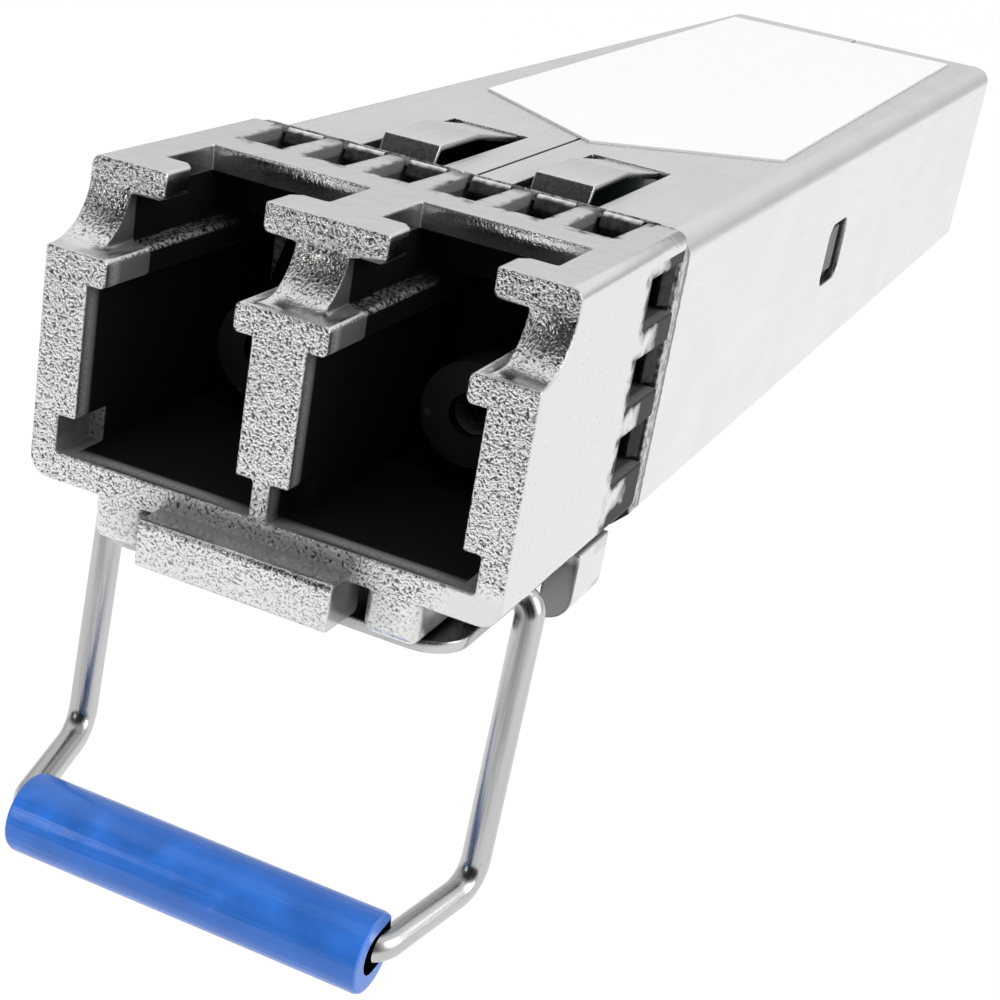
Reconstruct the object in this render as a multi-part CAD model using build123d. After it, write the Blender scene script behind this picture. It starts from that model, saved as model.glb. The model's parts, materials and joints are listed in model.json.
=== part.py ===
from build123d import *
import os
from math import atan2, cos, degrees, pi, radians, sin

# Pluggable optical transceiver with a duplex fibre receptacle and a wire bail latch.
# X runs to the right as seen from the fibre end, Y runs into the cage, Z runs up.
# The origin is the centre of the body's cross-section at the plane where the cage's mouth stops the nose.

# Envelope of the module
module_length = 56.5
nose_length = 9.0
body_width = 13.3
body_height = 8.5
sheet = 0.3
body_corner_radius = 0.7
body_bottom_chamfer = 0.5
seat_gap = 0.05
overcut = 1.0

# Nose block
nose_width = 13.5
nose_top = 4.5
nose_bottom = -3.75
nose_rear = 0.45
nose_top_radius = 0.3
nose_bottom_radius = 0.55

# Fibre ports
port_pitch = 6.25
port_width = 4.75
port_floor = -2.95
guide_height = 4.6
ledge_thickness = 0.78
ledge_reach = 0.55
port_end = 0.6
port_corner_radius = 0.18
chamber_top = 3.74
chamber_depth = 7.2
foot_recess_height = 1.0
foot_recess_reach = 0.5
foot_recess_depth = 1.5
floor_ridge_length = 1.5
floor_ridge_size = 0.25
floor_ridge_setback = 5.5

# Upper ears and the concave seat in front of them
ear_setback = 1.67
ear_depth = 1.45
ear_reach = 0.96
seat_radius = 1.57
roof_notch_depth = 5.48
ear_back_chamfer = 0.3
ear_tip_radius = 0.2

# Spring fingers of the cover and their pockets round the rear of the nose
top_finger_count = 6
side_finger_count = 3
top_finger_pitch = 1.95
side_finger_pitch = 2.2
side_finger_centre = 0.78
pocket_width = 1.4
top_pocket_depth = 1.15
side_pocket_depth = 0.75
pocket_length = 2.6
pocket_ramp = 1.5
pocket_steps = (0.0, 0.2, 0.35, 0.5, 0.65, 0.8, 1.0)
finger_width = 1.15
top_finger_drop = 0.6
side_finger_drop = 0.35
finger_nose = 0.25
finger_thickness = 0.2

# Casting behind the nose
core_rear = 36.0
bulkhead_thickness = 1.2
bay_wall = 0.55
barrel_bay_floor = -2.3
can_bay_floor = -3.2
board_bay_floor = -3.0
board_ledge = 0.8
board_bay_start = 11.6

# Latch feet, lugs, lip and stop under the nose
foot_inner = 3.2
foot_width = 1.5
foot_bottom = -4.95
foot_length = 4.5
foot_radius = 0.35
lip_width = 5.5
lip_top = -3.5
lip_bottom = -4.8
lip_reach = 1.0
lip_depth = 1.7
lip_radius = 0.15
lug_front = -3.2
lug_length = 2.2
lug_width = 0.95
lug_bottom = -5.85
lug_radius = 0.8

# Bail
wire_diameter = 0.8
bail_swing = 84.0
bail_setback = 3.6
pivot_drop = 0.2
leg_inset = 0.45
leg_length = 8.31
leg_lean = 5.0
bail_forward = 4.0
bail_narrow = 0.87
bail_dip = 0.3
wire_bend_radius = 0.9
crank_throw = 0.36
crank_half_length = 2.35
crank_ramp = 0.35
wire_butt_gap = 0.3
rod_clearance = 0.05
stop_pad_width = 3.0
stop_pad_length = 0.9
stop_pad_gap = 0.04

# Sleeve on the bail
sleeve_length = 10.6
sleeve_shift = 0.15
sleeve_diameter = 2.2
sleeve_slot = 0.9
sleeve_bore = 0.9

# Latch plate
plate_thickness = 0.35
plate_top = -5.1
plate_setback = 0.9
plate_side_gap = 0.35
plate_corner_radius = 1.2
plate_step_front = -0.95
plate_step_rear = -0.1
arm_width = 5.6
arm_rear = 5.3
arm_inset = 0.05
boss_shoulder = 2.5
boss_length = 2.6
boss_width = 2.6
boss_height = 0.45
cam_pad_width = 4.0
cam_pad_length = 1.6
cam_gap = 0.12
pin_diameter = 0.8
pin_y = -2.0
pin_z = -4.5
pin_end_inset = 0.25
flange_radius = 0.55
cavity_width = 6.3
cavity_front = -1.7
cavity_rear = 5.7
port_underside = 0.35
arm_headroom = 1.35
spring_y = 3.4
spring_length = 3.4
spring_crown = 1.2
spring_width = 3.0
spring_thickness = 0.12

# Cover shell
cover_front = 0.5
seam_width = 0.08
skirt_start = 36.3
skirt_bottom = -3.8
window_y = 20.4
window_z = 0.25
window_length = 2.5
window_height = 2.3
window_radius = 0.5
snap_proud = 0.15
tab_centre = 2.4
tab_slot_width = 2.6
tab_slot_front = 1.5
tab_slot_rear = 8.0
tab_width = 1.8
tab_rise = 0.45
tab_pad_front = 2.3
tab_pad_rear = 5.0
tab_toe = 1.85
tab_dip = 0.4
tab_thickness = 0.2

# Label
label_inset = 1.35
label_tip = 9.4
label_shoulder = 13.7
label_turn = 1.4
label_rear = 45.5
label_thickness = 0.08

# Circuit board
board_thickness = 1.0
board_bottom = -2.0
board_side_gap = 0.25
board_tongue_width = 9.2
board_tongue_start = 36.0
board_front = 12.6
board_rear = 44.3
contact_count = 10
contact_pitch = 0.8
contact_width = 0.56
contact_length = 2.6
contact_thickness = 0.05
contact_inset = 0.5

# Optical subassemblies
optic_z = -0.65
barrel_diameter = 2.9
barrel_reach = 4.4
barrel_lip = 0.4
ferrule_bore = 1.251
ferrule_sleeve_diameter = 1.9
ferrule_depth = 5.0
can_length = 3.4
header_side_gap = 0.12
header_rim = 0.3
header_length = 0.9
flex_thickness = 0.15
flex_width = 3.4
flex_landing = 2.4
clamp_front = 2.1
clamp_length = 2.6
clamp_height = 2.1

# Chips on the board: place, size and height, all lying on the upper face
driver_place = (-2.6, 19.5)
driver_size = (3.0, 3.0)
amplifier_place = (2.6, 19.5)
amplifier_size = (3.0, 3.0)
controller_place = (0.0, 27.0)
controller_size = (4.0, 4.0)
chip_height = 0.7
chip_chamfer = 0.15
passive_size = (0.5, 1.0, 0.5)
passive_columns = 4
passive_rows = 2
passive_pitch_x = 2.2
passive_pitch_y = 2.0
passive_start_y = 31.2
thermal_pad_size = (6.0, 6.0)

# Values worked out from the ones above
front = -nose_length
rear = module_length - nose_length
body_top = body_height / 2
body_bottom = -body_height / 2
body_half = body_width / 2
nose_half = nose_width / 2
port_half = port_width / 2
bail_pivot_y = front + bail_setback
plate_front = front + plate_setback
guide_top = port_floor + guide_height
ledge_top = guide_top + ledge_thickness
ear_front = front + ear_setback
core_half = body_half - sheet - seat_gap
core_top = body_top - sheet - seat_gap
core_bottom = body_bottom + sheet + seat_gap
bulkhead_rear = port_end + bulkhead_thickness
bay_half = core_half - bay_wall
board_width = 2 * (bay_half - board_side_gap)
lug_inner = body_half - lug_width
plate_width = 2 * (lug_inner - plate_side_gap)
leg_x = nose_half - leg_inset
wire_radius = wire_diameter / 2
bail_pivot_z = nose_bottom - pivot_drop - wire_radius
arm_bottom = body_bottom + arm_inset
arm_top = arm_bottom + plate_thickness
board_top = board_bottom + board_thickness
barrel_rear = cavity_rear + bay_wall + seat_gap
optic_x = port_pitch / 2
header_diameter = 2 * (bay_half - optic_x - header_side_gap)
can_diameter = header_diameter - 2 * header_rim
barrel_tip = port_end - barrel_reach


def block(x, y, z):
    """A cuboid between pairs of limits."""
    size = Box(x[1] - x[0], y[1] - y[0], z[1] - z[0])
    return Pos((x[0] + x[1]) / 2, (y[0] + y[1]) / 2, (z[0] + z[1]) / 2) * size


def along_x(sketch, start, end):
    """Extrude a sketch drawn in Y and Z from one X to another."""
    return extrude(Plane.YZ.offset(start) * sketch, amount=end - start)


def along_y(sketch, start, end):
    """Extrude a sketch drawn in X and Z from one Y to another."""
    return extrude(Plane.XZ.offset(-end) * sketch, amount=end - start)


def along_z(sketch, start, end):
    """Extrude a sketch drawn in X and Y from one Z to another."""
    return extrude(Plane.XY.offset(start) * sketch, amount=end - start)


def outline(points):
    """A flat face through points."""
    return make_face(Polyline(*points, close=True))


def rectangle(x0, x1, y0, y1):
    """A flat rectangle between limits."""
    return Pos((x0 + x1) / 2, (y0 + y1) / 2) * Rectangle(x1 - x0, y1 - y0)


def rounded(x0, x1, y0, y1, radius):
    """A flat rectangle with rounded corners."""
    return Pos((x0 + x1) / 2, (y0 + y1) / 2) * RectangleRounded(x1 - x0, y1 - y0, radius)


def ribbon(points, thickness):
    """The section of a bent strip whose middle line runs through the points."""
    half = thickness / 2
    turns = [atan2(b[1] - a[1], b[0] - a[0]) for a, b in zip(points, points[1:])]
    left, right = [], []
    for i, (px, py) in enumerate(points):
        before = turns[max(i - 1, 0)]
        after = turns[min(i, len(turns) - 1)]
        heading = (before + after) / 2
        reach = half / cos((after - before) / 2)
        left.append((px - reach * sin(heading), py + reach * cos(heading)))
        right.append((px + reach * sin(heading), py - reach * cos(heading)))
    return outline(left + right[::-1])


def rod(diameter, centre, start, end, axis="Y"):
    """A round bar along Y or X, centred on a point of the crossing plane."""
    disc = Pos(*centre) * Circle(diameter / 2)
    return along_y(disc, start, end) if axis == "Y" else along_x(disc, start, end)


def mirrored(solid):
    """The same thing on the other side of the module's middle plane."""
    return mirror(solid, about=Plane.YZ)


# Base casting
def body_section(half, top, bottom, radius, chamfer_size):
    """Cross-section with rounded upper and chamfered lower corners."""
    section = rectangle(-half, half, bottom, top)
    corners = section.vertices().group_by(Axis.Y)
    section = fillet(corners[-1], radius)
    return chamfer(section.vertices().group_by(Axis.Y)[0], chamfer_size)


def nose_block():
    section = rectangle(-nose_half, nose_half, nose_bottom, nose_top)
    corners = section.vertices().group_by(Axis.Y)
    section = fillet(corners[-1], nose_top_radius)
    section = fillet(section.vertices().group_by(Axis.Y)[0], nose_bottom_radius)
    return along_y(section, front, nose_rear)


def port_cut(centre):
    """One fibre port: plug guide, ledges, latch chamber, roof notch and the gap between the ears."""
    left, right = centre - port_half, centre + port_half
    guide = rectangle(left, right, port_floor, guide_top)
    neck = rectangle(left + ledge_reach, right - ledge_reach, guide_top, ledge_top)
    chamber = rectangle(left, right, ledge_top, chamber_top)
    opening = softened(guide + neck + chamber)
    cut = along_y(opening, front, front + chamber_depth) + along_y(guide + neck, front, port_end)
    notch_front = ear_front + ear_depth
    notch = block((left, right), (notch_front, front + roof_notch_depth), (ledge_top, nose_top + overcut))
    gap = (left + ear_reach, right - ear_reach)
    ear_gap = along_y(ear_gap_section(gap), front, notch_front + seat_gap)
    ear_gap = ear_gap + ear_tip_relief(gap, notch_front)
    recess = block(
        (left - foot_recess_reach, right + foot_recess_reach),
        (front, front + foot_recess_depth),
        (port_floor, port_floor + foot_recess_height),
    )
    ridge = block(
        (left, left + floor_ridge_length),
        (front + floor_ridge_setback, front + floor_ridge_setback + floor_ridge_size),
        (port_floor, port_floor + floor_ridge_size),
    )
    return cut + notch + ear_gap + recess - ridge


def softened(section):
    """The port's outline with rounded corners at the tips of its ledges and in its foot."""
    inner = section.vertices().filter_by_position(Axis.Y, port_floor, ledge_top)
    return fillet(inner, port_corner_radius)


def ear_gap_section(gap):
    """The gap between two ears, whose tips are rounded below."""
    section = rectangle(gap[0], gap[1], chamber_top, nose_top + overcut)
    start, end, tip_top = gap[0] - ear_tip_radius, gap[1] + ear_tip_radius, chamber_top + ear_tip_radius
    flare = rectangle(start, end, ledge_top, tip_top)
    for x in (start, end):
        flare -= Pos(x, tip_top) * Circle(ear_tip_radius)
    return section + flare


def ear_tip_relief(gap, notch_front):
    """Chamfers on the rear tips of the upper ears."""
    size = ear_back_chamfer
    points = [
        (gap[0], notch_front - size),
        (gap[1], notch_front - size),
        (gap[1] + size, notch_front + seat_gap),
        (gap[0] - size, notch_front + seat_gap),
    ]
    return along_z(outline(points), ledge_top, nose_top + overcut)


def concave_seat():
    """The hollow across the upper front of the posts."""
    high = nose_top + overcut
    step = rectangle(front - overcut, ear_front, ledge_top, high)
    corner = rectangle(ear_front - seat_radius, ear_front, ledge_top, ledge_top + seat_radius)
    corner -= Pos(ear_front - seat_radius, ledge_top + seat_radius) * Circle(seat_radius)
    return along_x(step - corner, -nose_half - overcut, nose_half + overcut)


def pocket_profile(surface, depth):
    """A pocket that dips from a surface in a long curve, open to the rear."""
    mouth, behind = nose_rear - pocket_length, nose_rear + overcut
    dip = [(mouth + pocket_ramp * t, surface - depth * (1 - cos(pi * t)) / 2) for t in pocket_steps]
    return [(mouth, surface + sheet)] + dip + [(behind, surface - depth), (behind, surface + sheet)]


def row_of(count, pitch, middle=0.0):
    """Evenly spaced places about a middle."""
    return [middle + (i - (count - 1) / 2) * pitch for i in range(count)]


def finger_pockets():
    """Pockets for the cover's spring fingers, along the top and both sides."""
    half = pocket_width / 2
    cuts = []
    for x in row_of(top_finger_count, top_finger_pitch):
        cuts.append(along_x(outline(pocket_profile(nose_top, top_pocket_depth)), x - half, x + half))
    for z in row_of(side_finger_count, side_finger_pitch, side_finger_centre):
        side = outline([(surface, y) for y, surface in pocket_profile(nose_half, side_pocket_depth)])
        cut = along_z(side, z - half, z + half)
        cuts += [cut, mirrored(cut)]
    return cuts


def core_block():
    """The part of the casting inside the cover: bulkhead, optics bay and board bay."""
    section = body_section(core_half, core_top, core_bottom, body_corner_radius - sheet, body_bottom_chamfer)
    core = along_y(section, nose_rear, core_rear)
    above = core_top + overcut
    across = (-bay_half, bay_half)
    cans_start = cavity_rear + bay_wall
    core -= block(across, (bulkhead_rear, cans_start), (barrel_bay_floor, above))
    core -= block(across, (cans_start, board_bay_start), (can_bay_floor, above))
    core -= block(across, (board_bay_start, core_rear + overcut), (board_bottom, above))
    well = (board_ledge - bay_half, bay_half - board_ledge)
    core -= block(well, (board_bay_start, core_rear - board_ledge), (board_bay_floor, board_bottom))
    for side in (-1, 1):
        hole = barrel_diameter + 2 * seat_gap
        core -= rod(hole, (side * optic_x, optic_z), port_end - overcut, bulkhead_rear + overcut)
        snap = block(
            (core_half, core_half + snap_proud),
            (window_y - window_length / 2 + sheet, window_y + window_length / 2 - sheet),
            (window_z - window_height / 2 + sheet, window_z + window_height / 2 - sheet),
        )
        core += snap if side > 0 else mirrored(snap)
    return core + lower_saddle()


def lower_saddle():
    """The rib across the optics bay in which the two barrels lie."""
    section = rectangle(-bay_half, bay_half, barrel_bay_floor, optic_z)
    for side in (-1, 1):
        section -= Pos(side * optic_x, optic_z) * Circle(barrel_diameter / 2 + seat_gap)
    return along_y(section, clamp_front, clamp_front + clamp_length)


def latch_cavity():
    """The space in the casting's underside in which the latch arm moves."""
    half = cavity_width / 2
    below = body_bottom - overcut
    deep_start = port_end + bulkhead_thickness / 2
    shallow = block((-half, half), (cavity_front, deep_start), (below, port_floor - port_underside))
    deep = block((-half, half), (deep_start, cavity_rear), (below, arm_bottom + arm_headroom))
    return shallow + deep


def latch_foot():
    """A rib under the nose with the bearing hole for the bail."""
    profile = rectangle(front, front + foot_length, foot_bottom, nose_bottom)
    low = profile.vertices().group_by(Axis.Y)[0]
    profile = fillet(low, foot_radius)
    rib = along_x(profile, foot_inner, foot_inner + foot_width)
    corner_edges = rib.edges().filter_by(Axis.Y).group_by(Axis.Z)[0]
    rib = chamfer(corner_edges, foot_radius / 2)
    hole = rod(wire_diameter + 2 * rod_clearance, (bail_pivot_y, bail_pivot_z), 0, nose_half, "X")
    return rib - hole


def latch_lug():
    """A lug behind the bail's leg that carries one end of the latch pin."""
    profile = rectangle(lug_inner, body_half, lug_bottom, core_bottom)
    outer_low = profile.vertices().group_by(Axis.Y)[0].sort_by(Axis.X)[-1]
    profile = fillet(outer_low, lug_radius)
    lug = along_y(profile, lug_front, lug_front + lug_length)
    web = block((lug_inner, body_half), (lug_front, lug_front + lug_length), (body_bottom, nose_bottom))
    return lug + web - rod(pin_diameter, (pin_y, pin_z), 0, body_half - pin_end_inset, "X")


def front_lip():
    """The raised bar under the ports that stands in front of the latch plate."""
    profile = rounded(front - lip_reach, front - lip_reach + lip_depth, lip_bottom, lip_top, lip_radius)
    return along_x(profile, -lip_width / 2, lip_width / 2)


def bail_stop():
    """A pad over the bail's crank, which ends the bail's swing when it hangs."""
    low = bail_pivot_z + wire_radius + stop_pad_gap
    middle = bail_pivot_y + crank_throw
    span = (middle - stop_pad_length / 2, middle + stop_pad_length / 2)
    return block((-stop_pad_width / 2, stop_pad_width / 2), span, (low, nose_bottom))


def base_casting():
    body = nose_block() + core_block()
    for side in (-1, 1):
        body -= port_cut(side * optic_x)
    body -= concave_seat()
    for cut in finger_pockets():
        body -= cut
    body -= latch_cavity()
    body += front_lip() + bail_stop()
    for piece in (latch_foot(), latch_lug()):
        body = body + piece + mirrored(piece)
    return body


# Cover shell
def cover_tube():
    outer = body_section(body_half, body_top, body_bottom, body_corner_radius, body_bottom_chamfer)
    inner = body_section(
        body_half - sheet,
        body_top - sheet,
        body_bottom + sheet,
        body_corner_radius - sheet,
        body_bottom_chamfer,
    )
    return along_y(outer - inner, cover_front, rear)


def top_finger(x):
    """A spring finger at the cover's upper front edge, curled down into its pocket."""
    middle = body_top - sheet / 2
    path = [
        (cover_front, middle),
        (cover_front - finger_nose / 2, middle - finger_thickness / 2),
        (cover_front - finger_nose, middle - top_finger_drop / 2),
        (cover_front - finger_nose + finger_thickness, middle - top_finger_drop),
    ]
    half = finger_width / 2
    return along_x(ribbon(path, finger_thickness), x - half, x + half)


def side_finger(z):
    """The same finger on the cover's right side."""
    middle = body_half - sheet / 2
    path = [
        (middle, cover_front),
        (middle - finger_thickness / 2, cover_front - finger_nose / 2),
        (middle - side_finger_drop / 2, cover_front - finger_nose),
        (middle - side_finger_drop, cover_front - finger_nose + finger_thickness),
    ]
    half = finger_width / 2
    return along_z(ribbon(path, finger_thickness), z - half, z + half)


def ground_tab(x):
    """A raised spring tab lanced from the cover's top."""
    middle = body_top - sheet / 2
    path = [
        (tab_slot_rear + tab_thickness, middle),
        (tab_slot_rear - tab_thickness, middle),
        (tab_pad_rear, middle + tab_rise),
        (tab_pad_front, middle + tab_rise),
        (tab_toe, middle - tab_dip),
    ]
    return along_x(ribbon(path, tab_thickness), x - tab_width / 2, x + tab_width / 2)


def cover_shell():
    shell = cover_tube()
    half_cavity = cavity_width / 2
    side, behind = body_half + overcut, rear + overcut
    low, high = body_bottom - overcut, body_top + overcut
    shell -= block((-half_cavity, half_cavity), (0, cavity_rear), (low, core_bottom))
    shell -= block((-side, side), (skirt_start, behind), (low, skirt_bottom))
    window = rounded(
        window_y - window_length / 2,
        window_y + window_length / 2,
        window_z - window_height / 2,
        window_z + window_height / 2,
        window_radius,
    )
    shell -= along_x(window, -side, side)
    for x in (-tab_centre, tab_centre):
        span = (x - tab_slot_width / 2, x + tab_slot_width / 2)
        shell -= block(span, (tab_slot_front, tab_slot_rear), (body_top - 2 * sheet, high))
        shell += ground_tab(x)
    for x in row_of(top_finger_count, top_finger_pitch):
        shell += top_finger(x)
    for z in row_of(side_finger_count, side_finger_pitch, side_finger_centre):
        finger = side_finger(z)
        shell += finger
        shell += mirrored(finger)
    shell -= block((-seam_width / 2, seam_width / 2), (0, behind), (0, high))
    return shell


def label():
    half = body_half - label_inset
    points = [
        (0, label_tip),
        (half, label_shoulder),
        (half, label_rear),
        (-half, label_rear),
        (-half, label_shoulder),
    ]
    film = along_z(outline(points), body_top, body_top + label_thickness)
    return film.rotate(Axis((0, (label_tip + label_rear) / 2, 0), (0, 0, 1)), label_turn)


# Latch
def latch_plate():
    """The rocking plate: a wide tongue at the front, a step, and an arm with the catch."""
    low_middle = plate_top - plate_thickness / 2
    high_middle = arm_bottom + plate_thickness / 2
    path = [
        (plate_front, low_middle),
        (plate_step_front, low_middle),
        (plate_step_rear, high_middle),
        (arm_rear, high_middle),
    ]
    strip = along_x(ribbon(path, plate_thickness), -plate_width / 2, plate_width / 2)
    tongue = rounded(-plate_width / 2, plate_width / 2, plate_front, plate_step_front, plate_corner_radius)
    square_end = rectangle(-plate_width / 2, plate_width / 2, pin_y - flange_radius, plate_step_front)
    arm = rectangle(-arm_width / 2, arm_width / 2, plate_step_front, arm_rear)
    plan = along_z(tongue + square_end + arm, plate_top - overcut, arm_top + overcut)
    plate = strip & plan
    plate += latch_boss() + cam_pad()
    flange = plate_flange()
    return plate + flange + mirrored(flange)


def latch_boss():
    """The catch: a square shoulder to the front and a ramp to the rear."""
    low = body_bottom - boss_height
    ramp_run = boss_height + arm_inset
    points = [
        (boss_shoulder, arm_bottom),
        (boss_shoulder, low),
        (boss_shoulder + boss_length - ramp_run, low),
        (boss_shoulder + boss_length, arm_bottom),
    ]
    return along_x(outline(points), -boss_width / 2, boss_width / 2)


def cam_pad():
    """A raised pad on which the bail's crank presses."""
    middle = bail_pivot_y + crank_throw / 2
    top = bail_pivot_z - wire_radius - crank_throw * sin(radians(90 - bail_swing)) - cam_gap
    low = (middle - cam_pad_length / 2, plate_top)
    slope = top - plate_top
    points = [
        low,
        (low[0] + slope, top),
        (low[0] + cam_pad_length - slope, top),
        (low[0] + cam_pad_length, plate_top),
    ]
    return along_x(outline(points), -cam_pad_width / 2, cam_pad_width / 2)


def plate_flange():
    """One upturned ear of the plate, with the bearing hole for the pin."""
    low = plate_top - plate_thickness / 2
    ear = rectangle(pin_y - flange_radius, pin_y + flange_radius, low, pin_z)
    ear += Pos(pin_y, pin_z) * Circle(flange_radius)
    ear -= Pos(pin_y, pin_z) * Circle(pin_diameter / 2 + rod_clearance)
    return along_x(ear, plate_width / 2 - plate_thickness, plate_width / 2)


def latch_pin():
    reach = body_half - pin_end_inset
    return rod(pin_diameter, (pin_y, pin_z), -reach, reach, "X")


def latch_spring():
    """The bowed leaf that holds the catch down, between the arm and the casting."""
    low = arm_top + spring_thickness / 2
    high = arm_bottom + arm_headroom - spring_thickness / 2
    path = [
        (spring_y - spring_length / 2, low),
        (spring_y - spring_crown / 2, high),
        (spring_y + spring_crown / 2, high),
        (spring_y + spring_length / 2, low),
    ]
    return along_x(ribbon(path, spring_thickness), -spring_width / 2, spring_width / 2)


# Bail
def bail_points():
    """Corner points of the bail's left half, from the pivot rod to the middle of the handle."""
    lean = radians(leg_lean)
    bend_y = bail_pivot_y - leg_length * sin(lean)
    bend_z = bail_pivot_z - leg_length * cos(lean)
    handle_y = bend_y - bail_forward
    handle_z = bend_z - bail_dip
    return [
        (-leg_x, bail_pivot_y, bail_pivot_z),
        (-leg_x, bend_y, bend_z),
        (-leg_x + bail_narrow, handle_y, handle_z),
        (-wire_butt_gap / 2, handle_y, handle_z),
    ]


def bail_wire():
    """One bent wire: pivot rod with its crank, two legs and the handle, butted inside the sleeve."""
    rest = radians(90 - bail_swing)
    crank_y = bail_pivot_y + crank_throw * cos(rest)
    crank_z = bail_pivot_z - crank_throw * sin(rest)
    leg_top, bend, corner, butt = bail_points()
    leg_middle = tuple((upper + lower) / 2 for upper, lower in zip(leg_top, bend))
    left = [
        leg_middle,
        leg_top,
        (-crank_half_length - crank_ramp, bail_pivot_y, bail_pivot_z),
        (-crank_half_length, crank_y, crank_z),
    ]
    crank = Polyline(*left, *[(-x, y, z) for x, y, z in left[::-1]])
    loop = round_wire(FilletPolyline(butt, corner, bend, leg_middle, radius=wire_bend_radius))
    return round_wire(crank) + loop + mirrored(loop)


def round_wire(path):
    """Wire along a path, mitred at any corner that has no bend of its own."""
    section = Plane(origin=path @ 0, z_dir=path % 0) * Circle(wire_radius)
    return sweep(section, path=path, transition=Transition.RIGHT)


def bail_sleeve():
    """The split tube over the handle, open along the side where the wire leaves it."""
    handle = bail_points()[-1]
    bend = bail_points()[1]
    slant = degrees(atan2(bend[2] - handle[2], bend[1] - handle[1]))
    ring = Circle(sleeve_diameter / 2) - Circle(sleeve_bore / 2)
    slot = Pos(sleeve_diameter / 2, 0) * Rectangle(sleeve_diameter, sleeve_slot)
    section = Pos(handle[1], handle[2]) * Rot(0, 0, slant) * (ring - slot)
    return along_x(section, sleeve_shift - sleeve_length / 2, sleeve_shift + sleeve_length / 2)


# Circuit board and what it carries
def circuit_board():
    wide = rectangle(-board_width / 2, board_width / 2, board_front, board_tongue_start)
    tongue = rectangle(-board_tongue_width / 2, board_tongue_width / 2, board_tongue_start, board_rear)
    return along_z(wide + tongue, board_bottom, board_top)


def edge_contacts(low):
    """One row of contact pads lying on a face of the board's tongue."""
    end = board_rear - contact_inset
    pads = []
    for x in row_of(contact_count, contact_pitch):
        span = (x - contact_width / 2, x + contact_width / 2)
        pads.append(block(span, (end - contact_length, end), (low, low + contact_thickness)))
    return Compound(children=pads)


def chip(place, size):
    x, y = place
    half_x, half_y = size[0] / 2, size[1] / 2
    body = block((x - half_x, x + half_x), (y - half_y, y + half_y), (board_top, board_top + chip_height))
    return chamfer(body.faces().sort_by(Axis.Z)[-1].edges(), chip_chamfer)


def board_passives():
    """A group of small parts soldered to the board."""
    parts = []
    for x in row_of(passive_columns, passive_pitch_x):
        for row in range(passive_rows):
            y = passive_start_y + row * passive_pitch_y
            half_x, half_y = passive_size[0] / 2, passive_size[1] / 2
            top = board_top + passive_size[2]
            parts.append(block((x - half_x, x + half_x), (y - half_y, y + half_y), (board_top, top)))
    return Compound(children=parts)


def thermal_pad():
    """A soft pad between the board's underside and the casting's floor, below the controller."""
    x, y = controller_place
    half_x, half_y = thermal_pad_size[0] / 2, thermal_pad_size[1] / 2
    return block((x - half_x, x + half_x), (y - half_y, y + half_y), (board_bay_floor, board_bottom))


# Optics
def optic_barrel(side):
    """The tube that stands in the port and holds the ceramic sleeve behind its lip."""
    centre = (side * optic_x, optic_z)
    seat = barrel_tip + barrel_lip
    tube = rod(barrel_diameter, centre, barrel_tip, barrel_rear)
    tube -= rod(ferrule_bore, centre, barrel_tip, seat)
    return tube - rod(ferrule_sleeve_diameter, centre, seat, seat + ferrule_depth)


def ferrule_sleeve(side):
    """The ceramic sleeve that centres the plug's ferrule."""
    centre = (side * optic_x, optic_z)
    seat = barrel_tip + barrel_lip
    sleeve = rod(ferrule_sleeve_diameter, centre, seat, seat + ferrule_depth)
    return sleeve - rod(ferrule_bore, centre, seat, seat + ferrule_depth)


def optic_can(side):
    """The round can on its header."""
    x = side * optic_x
    header_front = barrel_rear + can_length
    can = rod(can_diameter, (x, optic_z), barrel_rear, header_front)
    return can + rod(header_diameter, (x, optic_z), header_front, header_front + header_length)


def optic_flex(side):
    """The flexible circuit from a can's header down to the board."""
    face = barrel_rear + can_length + header_length
    middle = face + flex_thickness / 2
    low = board_top + flex_thickness / 2
    top = optic_z + header_diameter / 2
    path = [
        (middle, top),
        (middle, low + flex_thickness),
        (board_front - flex_thickness, low),
        (board_front + flex_landing, low),
    ]
    x = side * optic_x
    return along_x(ribbon(path, flex_thickness), x - flex_width / 2, x + flex_width / 2)


def optics_clamp():
    """The saddle that holds both barrels down in the casting."""
    half = bay_half - seat_gap
    top = optic_z + clamp_height
    section = rectangle(-half, half, optic_z, top)
    for side in (-1, 1):
        section -= Pos(side * optic_x, optic_z) * Circle(barrel_diameter / 2 + seat_gap)
    return along_y(section, clamp_front, clamp_front + clamp_length)


def build():
    nodes = {
        "base_casting": base_casting(),
        "cover_shell": cover_shell(),
        "label": label(),
        "latch_plate": latch_plate(),
        "latch_pin": latch_pin(),
        "latch_spring": latch_spring(),
        "bail_wire": bail_wire(),
        "bail_sleeve": bail_sleeve(),
        "circuit_board": circuit_board(),
        "edge_contacts_top": edge_contacts(board_top),
        "edge_contacts_bottom": edge_contacts(board_bottom - contact_thickness),
        "laser_driver": chip(driver_place, driver_size),
        "receiver_amplifier": chip(amplifier_place, amplifier_size),
        "microcontroller": chip(controller_place, controller_size),
        "board_passives": board_passives(),
        "thermal_pad": thermal_pad(),
        "optics_clamp": optics_clamp(),
    }
    for name, side in (("transmitter", -1), ("receiver", 1)):
        nodes[f"{name}_barrel"] = optic_barrel(side)
        nodes[f"{name}_ferrule_sleeve"] = ferrule_sleeve(side)
        nodes[f"{name}_can"] = optic_can(side)
        nodes[f"{name}_flex"] = optic_flex(side)
    return nodes


os.makedirs("parts", exist_ok=True)
for node, solid in build().items():
    export_step(solid, f"parts/{node}.step")
    print(node, "volume", round(solid.volume, 2))
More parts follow.
